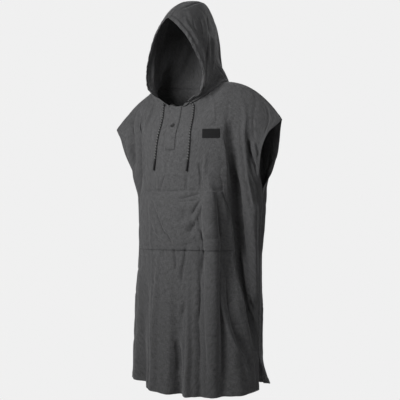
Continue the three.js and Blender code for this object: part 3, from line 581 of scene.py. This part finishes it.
class Panel:
    """One body panel: side is -1 in front and 1 behind."""

    def __init__(self, side, folds, creases, tucks, hem, seed):
        self.side, self.folds, self.creases, self.tucks, self.seed = side, folds, creases, tucks, seed
        self.hem_middle, self.hem_side, self.hem_rise = hem
        self.depth = FRONT_DEPTH if side < 0 else BACK_DEPTH

    def points(self, u, v, level):
        """Outer points where v runs from the top edge to the underarm and level gives z below it."""
        below = ~np.isnan(level)
        v = np.where(below, 1, v)
        turn = HALF_TURN * np.minimum(2 * v, 1)
        edge = eased_edge(self.side, u, turn)
        reach = mix(PLACKET_LENGTH, 0.074, smooth(NECK_SHARE, 1, np.abs(u)))
        arch = edge[..., 2] - reach * (1 - np.cos(turn))
        z = np.where(v < 0.5, arch, mix(edge[..., 2] - reach, UNDERARM_Z, 2 * v - 1))
        z = np.where(below, level, z)
        half, shift = along(BODY_SECTIONS, HALF, z), along(BODY_SECTIONS, SHIFT, z)
        across = u * HALF_TURN
        sine, cosine = np.sin(across), clamp(np.cos(across), 0, 1)
        armhole = along(BODY_SECTIONS, GAP, z) * np.abs(u) ** 6
        flat_x = edge[..., 0] * half / TIP_X
        x = mix(flat_x, half * sine, along(BODY_SECTIONS, GATHERED, z)) + shift * sine * sine
        out = along(BODY_SECTIONS, self.depth, z) * cosine**0.9 + armhole
        body_y = along(BODY_SECTIONS, MIDDLE, z) + self.side * out
        collar = smooth(0.2, 0.46, np.abs(u))
        forward = mix(np.sin(HALF_TURN * (1 - np.cos(turn))), np.sin(turn), collar)
        y = mix(edge[..., 1], body_y, forward)
        normal = unit(np.stack([sine / 0.24, self.side * cosine / 0.155, np.zeros_like(u)], -1))
        lift = fold_height(self.folds, u, z, self.seed) * smooth(0, 0.09, edge[..., 2] - z)
        point = np.stack([x, y, z], -1) + normal * lift[..., None]
        if self.side > 0:
            drop = np.maximum((SLIT_TOP_Z - z) / (SLIT_TOP_Z - self.hem_side), 0)
            spread = drop**1.1 * smooth(0.7, 1, np.abs(u))
            point[..., 1] += 0.028 * spread
            point[..., 0] += 0.022 * spread * np.sign(u)
        return point

    def wrinkles(self, s, z):
        """The cloth's own unevenness between its folds."""
        seed = self.seed
        sway = 0.03 * noise(s * 6, z * 5, seed)
        broad = 0.0012 * noise((s + sway) * 10, z * 4, seed + 1)
        middle = 0.0007 * noise((s + sway) * 24, z * 12, seed + 2)
        crumple = np.abs(noise((s + sway + 0.4 * z) * 21, (z - 0.3 * s) * 13, seed + 4))
        crushed = -0.0026 * (1 - crumple) ** 6 * smooth(-0.1, 0.5, noise(s * 9, z * 6, seed + 5))
        fine = 0.0004 * noise(s * 75 + 40 * sway, z * 48, seed + 3)
        return broad + middle + crushed + fine


FRONT = Panel(-1, FRONT_FOLDS, FRONT_CREASES, FRONT_TUCKS, (HEM_Z, -1.03, 0.017), 11)
BACK = Panel(1, BACK_FOLDS, BACK_CREASES, BACK_TUCKS, (-1.03, -1.012, 0), 51)


def rows_of(parts):
    """Rows as (v, z) pairs. Each part is a key, a start, an end and a number of steps."""
    rows = []
    for key, start, end, count in parts:
        for value in mix(start, end, np.arange(count) / count):
            rows.append((value, np.nan) if key == "v" else (np.nan, value))
    rows.append((np.nan, HEM_Z))
    return rows


def panel_grid(panel, columns, share_at, rows):
    """A panel's outer points, and each one's share of the half width."""
    grid_u, grid_v, grid_z = [], [], []
    for v, z in rows:
        if math.isnan(v):
            place = z
        elif v > 0.5:
            place = mix(PLACKET_BOTTOM_Z, UNDERARM_Z, 2 * v - 1)
        else:
            place = -NECK_DROP - PLACKET_LENGTH * (1 - math.cos(HALF_TURN * min(2 * v, 1)))
        u = share_at(columns, place)
        level = np.full(len(u), z)
        if z < SLIT_TOP_Z:
            hem = mix(panel.hem_middle, panel.hem_side, u * u) + panel.hem_rise * smooth(0, 0.5, -u)
            level = mix(SLIT_TOP_Z, hem, (SLIT_TOP_Z - z) / (SLIT_TOP_Z - HEM_Z))
        grid_u.append(u)
        grid_v.append(np.full(len(u), v))
        grid_z.append(level)
    return panel.points(np.array(grid_u), np.array(grid_v), np.array(grid_z)), np.array(grid_u)


def grid_normals(grid, sign):
    down = np.gradient(grid, axis=0)
    over = np.gradient(grid, axis=1)
    return unit(np.cross(down, over) * sign)


def hem_lift(away, deep):
    """A doubled hem with a sunk line of stitches."""
    sunk = bell((away - deep + STITCH_IN) / 0.002)
    return 0.001 * smooth(deep + 0.001, deep - 0.001, away) - 0.0007 * sunk


def seam_lift(away):
    """A seam that dips at the join, with a small roll beside it."""
    return 0.0009 * bell((away - 0.006) / 0.005) - 0.0012 * bell(away / 0.0035)


def make_wall(node, outer, normals, slot="shell", thick=CLOTH):
    """A closed wall of cloth behind a grid of outer points. Its inner face has half as many rows."""
    inner = (outer - np.broadcast_to(thick, outer.shape[:2])[..., None] * normals)[::2, ::2]
    rows, columns = outer.shape[:2]
    fine = np.arange(rows * columns).reshape(rows, columns)
    coarse = rows * columns + np.arange(inner.shape[0] * inner.shape[1]).reshape(inner.shape[:2])

    def quads(index):
        return np.stack([index[:-1, :-1], index[1:, :-1], index[1:, 1:], index[:-1, 1:]], -1).reshape(-1, 4)

    def border(index):
        return np.concatenate([index[0, :], index[1:, -1], index[-1, -2::-1], index[-2:0:-1, 0]])

    edge, inside = border(fine), border(coarse)
    middle, after, inside_after = edge[1::2], np.roll(edge, -2)[::2], np.roll(inside, -1)
    rim = np.stack([edge[::2], middle, after, inside_after, inside], -1)
    faces = quads(fine).tolist() + quads(coarse)[:, ::-1].tolist() + rim.tolist()
    points = np.concatenate([outer.reshape(-1, 3), inner.reshape(-1, 3)])
    centre = outer[:-1, :-1].reshape(-1, 3)
    down = outer[1:, :-1].reshape(-1, 3) - centre
    over = outer[:-1, 1:].reshape(-1, 3) - centre
    if (np.cross(down, over) * normals[:-1, :-1].reshape(-1, 3)).sum() < 0:
        faces = [face[::-1] for face in faces]
    across = run_along(outer, 1)
    across -= across[:, columns // 2 : columns // 2 + 1]
    flat = np.stack([across, -run_along(outer, 0)], -1)
    flat = np.concatenate([flat.reshape(-1, 2), flat[::2, ::2].reshape(-1, 2)])
    wall = add_mesh(f"{node}_cloth", points, faces, flat, slot)
    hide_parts(node)
    return wall


FRONT_STEPS = {"placket": 10, "pocket": 56, "flank": 24, "side": 44}
FRONT_HALF = sum(FRONT_STEPS.values())


def front_share(columns, z):
    """Shares of the half width at which the front's columns lie, closer together by the side edges."""
    count = list(FRONT_STEPS.values())
    marks = np.cumsum([0] + count)
    size = np.abs(columns).astype(float)
    toward_edge = clamp((size - marks[3]) / count[3], 0, 1)
    size = np.where(size > marks[3], marks[3] + count[3] * (1 - (1 - toward_edge) ** 1.3), size)
    lines = [float(along(FRONT_LINES, k, z)) for k in range(6)]
    left, right = [0, lines[1], lines[2], lines[4], 1], [0, lines[1], lines[3], lines[5], 1]
    return np.where(columns < 0, -np.interp(size, marks, right), np.interp(size, marks, left))


FRONT_ROWS = {"placket": 54, "chest": 42, "pocket": 60, "skirt": 90, "slit": 24, "hem": 14}
HEM_START_Z = -1.022
front_columns = np.arange(-FRONT_HALF, FRONT_HALF + 1)
front_grid, front_u = panel_grid(FRONT, front_columns, front_share, rows_of([
    ("v", 0, 0.5, FRONT_ROWS["placket"]),
    ("v", 0.5, 1, FRONT_ROWS["chest"]),
    ("z", UNDERARM_Z, POCKET_BOTTOM_Z, FRONT_ROWS["pocket"]),
    ("z", POCKET_BOTTOM_Z, SLIT_TOP_Z, FRONT_ROWS["skirt"]),
    ("z", SLIT_TOP_Z, HEM_START_Z, FRONT_ROWS["slit"]),
    ("z", HEM_START_Z, HEM_Z, FRONT_ROWS["hem"]),
]))
BACK_HALF = 100
back_columns = np.arange(-BACK_HALF, BACK_HALF + 1)


def back_share(columns, z):
    t = columns / BACK_HALF
    return np.sign(t) * (1 - (1 - np.abs(t)) ** 1.12)


BACK_ROWS = {"shoulder": 46, "blade": 34, "skirt": 116, "slit": 20, "hem": 12}
back_grid, back_u = panel_grid(BACK, back_columns, back_share, rows_of([
    ("v", 0, 0.5, BACK_ROWS["shoulder"]),
    ("v", 0.5, 1, BACK_ROWS["blade"]),
    ("z", UNDERARM_Z, SLIT_TOP_Z, BACK_ROWS["skirt"]),
    ("z", SLIT_TOP_Z, HEM_START_Z, BACK_ROWS["slit"]),
    ("z", HEM_START_Z, HEM_Z, BACK_ROWS["hem"]),
]))


def placed_on(panel, x, z):
    """Places and normals of a panel's smooth form at given x and z above the underarm."""
    u, v = x / 0.45, np.full_like(x, 0.4)
    level = np.full_like(x, np.nan)
    for _ in range(80):
        point = panel.points(u, v, level)
        u = u + (x - point[..., 0]) / 0.6
        v = clamp(v + (point[..., 2] - z) / 0.6, 0.02, 1)
    point = panel.points(u, v, level)
    down, over = panel.points(u, v + 0.02, level) - point, panel.points(u + 0.02, v, level) - point
    return point, unit(np.cross(down, over))


LABEL = {"x": 0.144, "z": -0.182, "wide": 0.053, "high": 0.03, "thick": 0.0008, "off": 0.0007}


def calm_front(grid):
    """1 where things lie on the front, so that the cloth keeps behind them, and 0 elsewhere."""
    x, z = grid[..., 0], grid[..., 2]
    calm = smooth(0.03, 0.016, np.abs(x)) * smooth(-0.262, -0.245, z)
    aside = np.maximum(np.abs(x - LABEL["x"]) - LABEL["wide"] / 2, 0)
    above = np.maximum(np.abs(z - LABEL["z"]) - LABEL["high"] / 2, 0)
    calm = np.maximum(calm, smooth(0.012, 0.003, np.hypot(aside, above)))
    for route in CORD_ROUTES.values():
        route = np.array(route)
        away = np.abs(x - np.interp(-z, -route[:, 2], route[:, 0]))
        calm = np.maximum(calm, smooth(0.018, 0.007, away) * smooth(-0.325, -0.31, z))
    return calm


def square_up(normals, place, axis):
    """Keeps a wall's rim level along a seam that faces along an axis."""
    flat = normals[place].copy()
    flat[..., axis] = 0
    normals[place] = unit(flat)


def dressed(panel, grid, u, calm, sunk=0):
    """Adds the fine creases, the cloth's unevenness, and its hems to a panel, and parts it at its seams."""
    s = run_along(grid, 1)
    to_edge = np.minimum(s, s[:, -1:] - s)
    middle = u.shape[1] // 2
    s -= s[:, middle : middle + 1]
    z = grid[..., 2]
    from_top = run_along(grid, 0)
    to_hem = from_top[-1] - from_top
    normals = grid_normals(grid, -panel.side)
    lift = crease_height(panel.creases, panel.tucks, s, z)
    lift += panel.wrinkles(s, z) * smooth(0.004, 0.03, from_top) * smooth(0, 0.02, to_edge)
    lift = mix(lift, np.minimum(lift, 0) * 0.3, calm)
    lift += hem_lift(to_hem, HEM_DEEP)
    edge_z = z[:, :1]
    armhole = smooth(UNDERARM_Z, UNDERARM_Z + 0.012, edge_z)
    slit = smooth(SLIT_TOP_Z, SLIT_TOP_Z - 0.012, edge_z)
    lift += armhole * hem_lift(to_edge, ARMHOLE_DEEP) + slit * hem_lift(to_edge, SLIT_DEEP)
    lift += (1 - armhole) * (1 - slit) * seam_lift(to_edge) * smooth(0, 0.01, to_hem)
    lift += seam_lift(from_top)
    grid = grid + normals * (lift - sunk)[..., None]
    normals = grid_normals(grid, -panel.side)
    for place in (np.s_[1:, 0], np.s_[1:, -1], np.s_[0, :]):
        grid[place][..., 1] += panel.side * SEAM_GAP / 2
        square_up(normals, place, 1)
    return grid, normals


def beside(first_row, last_row, half_span, depth):
    """How far the front sinks just outside the edges of what is sewn on it."""
    rows, columns = np.indices(front_u.shape)
    aside = np.abs(columns - FRONT_HALF) - half_span
    beyond = np.maximum(np.maximum(first_row - rows, rows - last_row), aside)
    depth = np.where(rows > last_row, 0.3 * depth, depth)
    return depth * (beyond == 1) + 0.4 * depth * (beyond == 2)


pocket_row = FRONT_ROWS["placket"] + FRONT_ROWS["chest"]
pocket_span = FRONT_STEPS["placket"] + FRONT_STEPS["pocket"]
front_sunk = beside(pocket_row, pocket_row + FRONT_ROWS["pocket"], pocket_span, 0.0026)
front_sunk += beside(0, FRONT_ROWS["placket"], FRONT_STEPS["placket"], 0.0018)
front_outer, front_normals = dressed(FRONT, front_grid, front_u, calm_front(front_grid), front_sunk)
back_outer, back_normals = dressed(BACK, back_grid, back_u, np.zeros_like(back_u))
front = make_wall("front", front_outer, front_normals)
back = make_wall("back", back_outer, back_normals)


def layered(node, from_row, to_row, half_span, swell):
    """A layer cut from the front's own grid and moved out, for the pocket and the placket."""
    span = np.s_[from_row : to_row + 1, FRONT_HALF - half_span : FRONT_HALF + half_span + 1]
    base, normals = front_outer[span], front_normals[span]
    down = np.linspace(0, 1, base.shape[0])[:, None]
    over = np.linspace(0, 1, base.shape[1])[None, :]
    inset = np.minimum(np.minimum(over, 1 - over) * 8, np.minimum(down, 1 - down) * 8)
    thick = CLOTH * mix(0.45, 1, smooth(0, 1, inset))
    outer = base + normals * (SEAM_GAP + swell(down, over) + thick)[..., None]
    return make_wall(node, outer, normals, thick=thick), outer, normals


def pocket_swell(down, over):
    full = 0.003 * np.sin(np.pi * over) ** 0.5 * np.sin(np.pi * down) ** 0.5
    mouth = smooth(0.06, 0, np.minimum(over, 1 - over)) * np.sin(np.pi * down)
    return full + 0.0022 * mouth


def placket_swell(down, over):
    turned_back = 0.011 * smooth(0.6, 0, over) * smooth(0.28, 0, down)
    folds = 0.0012 * np.abs(noise(over * 2.5 + 3, down * 11, 31)) * smooth(0, 0.1, down)
    return turned_back + folds


placket, placket_outer, placket_normals = layered(
    "placket", 0, FRONT_ROWS["placket"], FRONT_STEPS["placket"], placket_swell
)
pocket, pocket_outer, pocket_normals = layered(
    "pocket", pocket_row, pocket_row + FRONT_ROWS["pocket"], pocket_span, pocket_swell
)

# The label is a small patch of finer cloth.
label_down, label_over = np.meshgrid(np.linspace(0.5, -0.5, 17), np.linspace(-0.5, 0.5, 25), indexing="ij")
label_point, label_normals = placed_on(
    FRONT, LABEL["x"] + label_over * LABEL["wide"], LABEL["z"] + label_down * LABEL["high"]
)
label_outer = label_point + label_normals * (LABEL["off"] + LABEL["thick"])
label = make_wall("label", label_outer, label_normals, "patch", LABEL["thick"])

# place, neck angle, top y, top z, width, roundness, flare, backward bow
ANGLE, TOP_Y, TOP_Z, WIDTH, ROUNDNESS, FLARE, BOW = range(1, 8)
HOOD_RIBS = [
    (0, 10, -0.168, 0.205, 0.13, 1.5, 0.13, 0),
    (0.14, 38, -0.122, 0.246, 0.118, 1.05, 0.12, 0),
    (0.32, 70, -0.054, 0.281, 0.1, 0.78, 0.13, 0.002),
    (0.52, 98, 0.016, 0.293, 0.085, 0.7, 0.19, 0.003),
    (0.7, 124, 0.066, 0.257, 0.072, 0.68, 0.2, 0.006),
    (0.86, 150, 0.096, 0.2, 0.052, 0.6, 0.16, 0.009),
    (1, 180, 0.104, 0.13, 0, 0.6, 0.16, 0.009),
]
# name, rib at the bottom, middle and top, start, end, half width, height
HOOD_FOLDS = [
    ("cheek_valley", (0.17, 0.19, 0.2), 0.08, 0.66, 0.075, -0.011),
    ("cheek_ridge", (0.29, 0.3, 0.33), 0.1, 0.7, 0.07, 0.006),
    ("brow_fold", (0.1, 0.12, 0.15), 0.45, 0.9, 0.05, -0.005),
    ("nape_fold", (0.62, 0.66, 0.7), 0.04, 0.5, 0.09, -0.007),
    ("collar_roll", (0.45, 0.45, 0.45), 0.01, 0.16, 0.5, 0.006),
]
# Like the panels' creases, but the points are by rib and height, in thousandths of these two lengths
HOOD_ACROSS, HOOD_UP = 0.42, 0.33
HOOD_CREASES = {
    1: [
        ("casing_trough", 11, -14, 330, 460, 290, 350, 225, 262, 150, 215, 95, 165, 85, 100, 100, 40),
        ("trough_ridge", 15, 9, 430, 400, 410, 300, 340, 190, 280, 120),
        ("casing_roll", 8, 3, 50, 340, 45, 230, 40, 170, 45, 100),
        ("crown_streak", 10, -4, 170, 680, 140, 540, 140, 420, 160, 330),
        ("crown_streak_back", 10, -4, 260, 620, 240, 500, 220, 400),
        ("crown_lift", 11, 4, 120, 760, 95, 620, 100, 480, 110, 360),
        ("temple_streak", 12, -4, 420, 600, 370, 500, 360, 400),
        ("crown_line", 12, -3.5, 120, 880, 240, 830, 380, 840, 500, 900),
        ("neck_line", 9, -9, 460, 20, 380, 45, 300, 40, 220, 20),
        ("chin_crumple", 8, -6, 20, 120, 70, 100, 110, 70),
        ("chin_crumple_low", 7, -5, 0, 60, 50, 45, 90, 20),
        ("back_line", 12, -4, 720, 100, 700, 240, 740, 420),
    ],
    -1: [
        ("casing_trough", 13, -8, 170, 100, 140, 250, 130, 450, 120, 680),
        ("chin_crumple", 8, -5, 20, 130, 60, 100, 100, 80),
    ],
}
HOOD_TUCKS = {
    1: [("neck_tuck_back", 8, -4, 500, 0, 460, 70, 400, 140)],
    -1: [("neck_tuck", 9, -4, 360, 0, 330, 80, 300, 150)],
}
HOOD_LIFT = -0.0012
HOOD_COLUMNS, HOOD_ROWS = 141, 131
CASING = 0.019
# The wearer's right half, side -1, hangs smoother, and its chin corner turns in more
FOLD_SHARE, WAVE_SHARE = {1: 1, -1: 0.45}, {1: 1, -1: 0.25}
CHIN_ASIDE, CHIN_AHEAD = {1: 0.005, -1: 0.012}, {1: 0.003, -1: 0.007}


def hood_points(side, p, q):
    """Outer points of a hood half. p runs from the face to the nape, and q from the neck to the crown."""

    def rib(column):
        return along(HOOD_RIBS, column, p)

    foot = neck_ring(np.radians(rib(ANGLE)))
    turn = q * HALF_TURN
    rise = np.sin(turn)
    flare = np.exp(-((rise / rib(FLARE)) ** 1.3))
    z = mix(foot[..., 2] + HOOD_LIFT, rib(TOP_Z), rise)
    y = mix(foot[..., 1], rib(TOP_Y), rise**1.15) + rib(BOW) * np.sin(np.pi * rise)
    x = rib(WIDTH) * clamp(np.cos(turn), 0, 1) ** rib(ROUNDNESS) * (1 - flare) + foot[..., 0] * flare
    height = np.zeros_like(p)
    for _, place, start, end, wide, high in HOOD_FOLDS:
        t = (q - start) / (end - start)
        inside = (t > 0) & (t < 1)
        t = clamp(t, 0, 1)
        height += np.where(inside, high * bell((p - through_three(place, t)) / wide) * np.sin(np.pi * t), 0)
    turned = np.maximum(p * np.pi, 0.5)
    height *= FOLD_SHARE[side]
    x = x + height * np.sin(turned)
    y = y - height * np.cos(turned) * 0.4
    return np.stack([side * np.maximum(x, 0), y, z], -1)


def hood_panel(side, node):
    """One hood half with its creases, its gathered casing at the face, and its seams."""
    p, q = np.meshgrid(np.linspace(0, 1, HOOD_COLUMNS), np.linspace(1, 0, HOOD_ROWS))
    grid = hood_points(side, p, q)
    normals = grid_normals(grid, side)
    from_face = run_along(grid, 1)
    to_neck = run_along(grid[::-1], 0)[::-1]
    from_crown = run_along(grid, 0)
    to_nape = run_along(grid[:, ::-1], 1)[:, ::-1]
    spread = (HOOD_ACROSS, HOOD_UP)
    lift = crease_height(HOOD_CREASES[side], HOOD_TUCKS[side], p * spread[0], q * spread[1], spread)
    seed = 80 if side > 0 else 90
    wavy = 0.0013 * noise(p * 8, q * 3.4, seed) + 0.0008 * noise(p * 20, q * 9, seed + 1)
    crumple = np.abs(noise(p * 9 + q * 2, q * 5 - p, seed + 2))
    wavy -= 0.0014 * (1 - crumple) ** 6
    wavy *= WAVE_SHARE[side]
    calm = smooth(0.004, 0.03, to_neck) * smooth(0, 0.02, from_crown) * smooth(0, 0.02, to_nape)
    lift = (lift + wavy) * calm
    band = smooth(CASING + 0.003, CASING - 0.006, from_face)
    gathers = noise(to_neck / 0.008, from_face / 0.03, seed + 3)
    lift += band * smooth(0.006, 0.02, to_neck) * 0.0013 * gathers
    lift += 0.0022 * bell((from_face - CASING / 2) / (CASING / 2))
    lift -= 0.0014 * bell((from_face - CASING) / 0.003)
    lift += seam_lift(from_crown) + seam_lift(to_nape)
    front_part = smooth(0.65, 0.4, p)
    lift += front_part * (0.003 * bell((to_neck - 0.008) / 0.008) - 0.002 * bell((to_neck - 0.018) / 0.006))
    low_corner = smooth(0.1, 0.03, p) * smooth(0.16, 0.08, q)
    lift += low_corner * (0.002 + 0.004 * noise(p * 55, q * 34, seed + 5))
    grid = grid + normals * lift[..., None]
    turned_in = smooth(0.075, 0, p) * smooth(0.15, 0.06, q) * smooth(0, 0.03, q)
    grid[..., 0] -= side * CHIN_ASIDE[side] * turned_in
    grid[..., 1] -= CHIN_AHEAD[side] * turned_in
    ruffle = smooth(0.02, 0.0, from_face) * smooth(0.01, 0.04, to_neck) * smooth(0, 0.03, from_crown)
    grid[..., 1] += 0.0013 * ruffle * noise(to_neck / 0.009, np.zeros_like(p), seed + 4)
    normals = grid_normals(grid, side)
    for place in (np.s_[0, :], np.s_[:, -1]):
        grid[place][..., 0] = side * SEAM_GAP / 2
        square_up(normals, place, 0)
    square_up(normals, -1, 2)
    return make_wall(node, grid, normals), grid, normals


hood_left, left_outer, left_normals = hood_panel(1, "hood_left")
hood_right, right_outer, right_normals = hood_panel(-1, "hood_right")


# Lines of stitches, each at a set distance inside one edge of a grid. The grid's first column is its right.
TURNS = {
    "top": lambda grid: grid,
    "bottom": lambda grid: grid[::-1],
    "right": lambda grid: grid.swapaxes(0, 1),
    "left": lambda grid: grid[:, ::-1].swapaxes(0, 1),
}


def inset_line(grid, normals, edge, deep):
    """The line inside one edge of a grid, and its normals."""
    grid, normals = TURNS[edge](grid), TURNS[edge](normals)
    distance = run_along(grid, 0)
    columns = np.arange(grid.shape[1])
    row = clamp((distance < deep).sum(axis=0), 1, len(grid) - 1)
    before, after = distance[row - 1, columns], distance[row, columns]
    t = clamp((deep - before) / np.maximum(after - before, 1e-9), 0, 1)[:, None]
    line = mix(grid[row - 1, columns], grid[row, columns], t)
    return line, unit(mix(normals[row - 1, columns], normals[row, columns], t))


STITCH_PITCH, STITCH_LONG, STITCH_WIDE = 0.0032, 0.0023, 0.0005


def stitch_line(name, line, normals, slot="shell"):
    """Separate stitches along a line, each a short bar that dips into the cloth at both ends."""
    gone = run_along(line[:, None], 0)[:, 0]
    count = int(gone[-1] / STITCH_PITCH)
    if count < 2:
        return None
    places = (np.arange(count) + 0.5) * gone[-1] / count

    def at(values, place):
        return np.stack([np.interp(place, gone, values[:, k]) for k in range(3)], -1)

    points, faces = [], []
    heading = unit(at(line, places + 0.001) - at(line, places - 0.001))
    up = unit(at(normals, places))
    across = unit(np.cross(heading, up))
    up = np.cross(across, heading)
    middle = at(line, places)
    for share, rise in ((-0.5, -0.0003), (-0.28, 0.0001), (0.28, 0.0001), (0.5, -0.0003)):
        centre = middle + heading * share * STITCH_LONG + up * rise
        if abs(share) == 0.5:
            points.append(centre[:, None])
        else:
            ring = [way * STITCH_WIDE / 2 for way in (across, up, -across, -up)]
            points.append(np.stack([centre + part for part in ring], 1))
    points = np.concatenate(points, axis=1)
    one = [(0, 1 + (k + 1) % 4, 1 + k) for k in range(4)]
    one += [(1 + k, 1 + (k + 1) % 4, 5 + (k + 1) % 4, 5 + k) for k in range(4)]
    one += [(9, 5 + k, 5 + (k + 1) % 4) for k in range(4)]
    for i in range(count):
        faces += [tuple(10 * i + k for k in face) for face in one]
    flat = np.repeat(np.stack([places, np.zeros(count)], -1), 10, axis=0)
    return add_mesh(name, points.reshape(-1, 3), faces, flat, slot, "thread")


def panel_stitches(name, outer, normals):
    """Stitches on a panel's hem, armholes and slits."""
    line, up = inset_line(outer, normals, "bottom", HEM_DEEP - STITCH_IN)
    stitch_line(f"{name}_hem_stitches", line[4:-4], up[4:-4])
    edge_z = outer[:, 0, 2]
    armhole = (edge_z > UNDERARM_Z + 0.006) & (edge_z < TIP_Z - 0.004)
    slit = (edge_z < SLIT_TOP_Z - 0.003) & (edge_z > edge_z[-1] + 0.021)
    for kind, rows, deep in (("armhole", armhole, ARMHOLE_DEEP), ("slit", slit, SLIT_DEEP)):
        for side in ("right", "left"):
            line, up = inset_line(outer[rows], normals[rows], side, deep - STITCH_IN)
            stitch_line(f"{name}_{kind}_stitches_{side}", line, up)


panel_stitches("front", front_outer, front_normals)
panel_stitches("back", back_outer, back_normals)


def layer_stitches(name, outer, normals, edges, deep, slot="shell"):
    for edge in edges:
        line, up = inset_line(outer, normals, edge, deep)
        trim = 3 if len(line) > 30 else 1
        stitch_line(f"{name}_stitches_{edge}_0", line[trim:-trim], up[trim:-trim], slot)


layer_stitches("pocket", pocket_outer, pocket_normals, ["top", "bottom"], 0.0022)
layer_stitches("pocket", pocket_outer, pocket_normals, ["left", "right"], 0.011)
layer_stitches("placket", placket_outer, placket_normals, ["left", "right", "bottom"], 0.0022)
foot = placket_outer[-14], placket_normals[-14]
stitch_line("placket_box_stitches", foot[0][1:-1], foot[1][1:-1])
layer_stitches("label", label_outer, label_normals, ["top", "bottom", "left", "right"], 0.0018, "patch")
for node, outer, normals in (
    ("hood_left", left_outer, left_normals),
    ("hood_right", right_outer, right_normals),
):
    for kind, edge, deep, start, end in (
        ("casing", "right", CASING, 2, -4),
        ("neck", "bottom", 0.016, 2, -2),
        ("crown", "top", 0.005, 4, -4),
    ):
        line, up = inset_line(outer, normals, edge, deep)
        stitch_line(f"{node}_{kind}_stitches", line[start:end], up[start:end])


# A turned button with a rim, four holes and crossed thread stands where the plain one is. Each hole is a
# near-black plug, painted shade in place of an opening.
HOLE_TURN, HOLE_AT, HOLE_RADIUS, THREAD_RADIUS = 0.3, 0.0018, 0.0008, 0.00035


def button(node):
    corners = np.array([vertex.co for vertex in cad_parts[node].data.vertices])
    centre = corners.mean(axis=0)
    axis = np.linalg.svd(corners - centre, full_matrices=False)[2][2]
    axis = axis if axis[1] < 0 else -axis
    across = unit(np.cross(axis, [0, 0, 1.0]))
    up = np.cross(across, axis)
    radius = np.linalg.norm((corners - centre) - ((corners - centre) @ axis)[:, None] * axis, axis=1).max()
    half = np.abs((corners - centre) @ axis).max()
    profile = [(0, -1), (0.7, -1), (0.93, -0.7), (1, -0.1), (0.99, 0.5), (0.93, 0.9)]
    profile += [(0.85, 1), (0.78, 0.9), (0.7, 0.45), (0.55, 0.3), (0.3, 0.25), (0, 0.25)]
    angles = np.linspace(0, WHOLE_TURN, 41)[:-1]
    ring = circle(across, up, angles)
    points = [centre + ring * radius * max(wide, 0.001) + axis * half * rise for wide, rise in profile]
    count = len(angles)
    index = np.arange(len(profile) * count).reshape(len(profile), count)
    a, b = index[:-1], index[1:]
    faces = np.stack([a, np.roll(a, -1, 1), np.roll(b, -1, 1), b], -1).reshape(-1, 4).tolist()
    faces += [index[0][::-1].tolist(), index[-1].tolist()]
    points = np.concatenate(points)
    disc = add_mesh(f"{node}_disc", points, faces, points[:, [0, 2]], "button")
    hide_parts(node)
    face = centre + axis * half * 0.25
    holes = [HOLE_TURN + k * HALF_TURN for k in range(4)]
    spots = [face + HOLE_AT * (across * math.cos(a) + up * math.sin(a)) for a in holes]
    for k, spot in enumerate(spots):
        # A solid near-black plug at each hole, a hair proud of the face: painted shade standing in for the
        # opening
        shade_plug = [spot - axis * 0.0006, spot + axis * 0.00008]
        tube(f"{node}_hole_{k}", shade_plug, np.full(2, HOLE_RADIUS), 12, "button", "tip")
    for k, (start, end) in enumerate(((spots[0], spots[2]), (spots[1], spots[3]))):
        shares = np.linspace(0, 1, 7)
        arch = [mix(start, end, t) + axis * (0.0002 + 0.0007 * math.sin(math.pi * t)) for t in shares]
        tube(f"{node}_thread_{k}", arch, np.full(7, THREAD_RADIUS), 8, "button", "thread")


button("button")

# Stitched eyelets where the cord leaves the hood
for side, route in CORD_ROUTES.items():
    start = np.array(route[0]) * 0.72 + np.array(route[1]) * 0.28
    heading = unit(np.array(route[1]) - np.array(route[0]))
    across = unit(np.cross(heading, [0, 0, 1.0]))
    up = np.cross(across, heading)
    turns = np.linspace(0, WHOLE_TURN, 49)
    ridges = 0.0035 + 0.0002 * np.cos(24 * turns)[:, None]
    ring = start + circle(across, up, turns) * ridges
    tube(f"cord_{side}_eyelet", ring, np.full(49, 0.0008), 8, "shell", "thread")

# Studio: an even pale surround, a broad light in front, and weaker ones at the side and behind
world = bpy.data.worlds.new("studio")
scene.world = world
world.use_nodes = True
tree = world.node_tree
ground = tree.nodes["Background"]
ground.inputs["Color"].default_value = (1, 1, 1, 1)
ground.inputs["Strength"].default_value = 0.1
seen = tree.nodes.new("ShaderNodeBackground")
seen.inputs["Color"].default_value = (0.871, 0.871, 0.871, 1)
path = tree.nodes.new("ShaderNodeLightPath")
blend = tree.nodes.new("ShaderNodeMixShader")
tree.links.new(path.outputs["Is Camera Ray"], blend.inputs[0])
tree.links.new(ground.outputs[0], blend.inputs[1])
tree.links.new(seen.outputs[0], blend.inputs[2])
tree.links.new(blend.outputs[0], tree.nodes["World Output"].inputs["Surface"])
scene.view_settings.view_transform = "Standard"


def area_light(name, aim, direction, distance, size, power):
    light = bpy.data.lights.new(name, "AREA")
    light.shape = "DISK"
    light.size = size
    light.energy = power
    lamp = bpy.data.objects.new(name, light)
    scene.collection.objects.link(lamp)
    centre = Vector(aim)
    lamp.location = centre + Vector(direction).normalized() * distance
    lamp.rotation_euler = (centre - lamp.location).to_track_quat("-Z", "Y").to_euler()
    lamp.visible_camera = False


area_light("key", (0, 0, -0.25), (-0.17, -1, 0.26), 1.4, 0.8, 17.6)
area_light("side", (0, 0, 0), (0.94, -0.34, 0.6), 1.9, 1.0, 6.5)
area_light("back", (0, 0, 0), (0, 1, 0.5), 1.9, 1.0, 12)

FLOOR_RADIUS, FLOOR_Z, FLOOR_SIDES = 1.6, -1.47, 64
floor_mesh = bpy.data.meshes.new("floor")
turns = np.linspace(0, WHOLE_TURN, FLOOR_SIDES + 1)[:-1]
corners = [(FLOOR_RADIUS * math.cos(a), FLOOR_RADIUS * math.sin(a), FLOOR_Z) for a in turns]
floor_mesh.from_pydata(corners, [], [list(range(FLOOR_SIDES))])
floor = bpy.data.objects.new("floor", floor_mesh)
scene.collection.objects.link(floor)
pale = Nodes("floor_pale")
pale.set(Base_Color=(0.8, 0.8, 0.8, 1), Roughness=0.9)
floor_mesh.materials.append(pale.material)
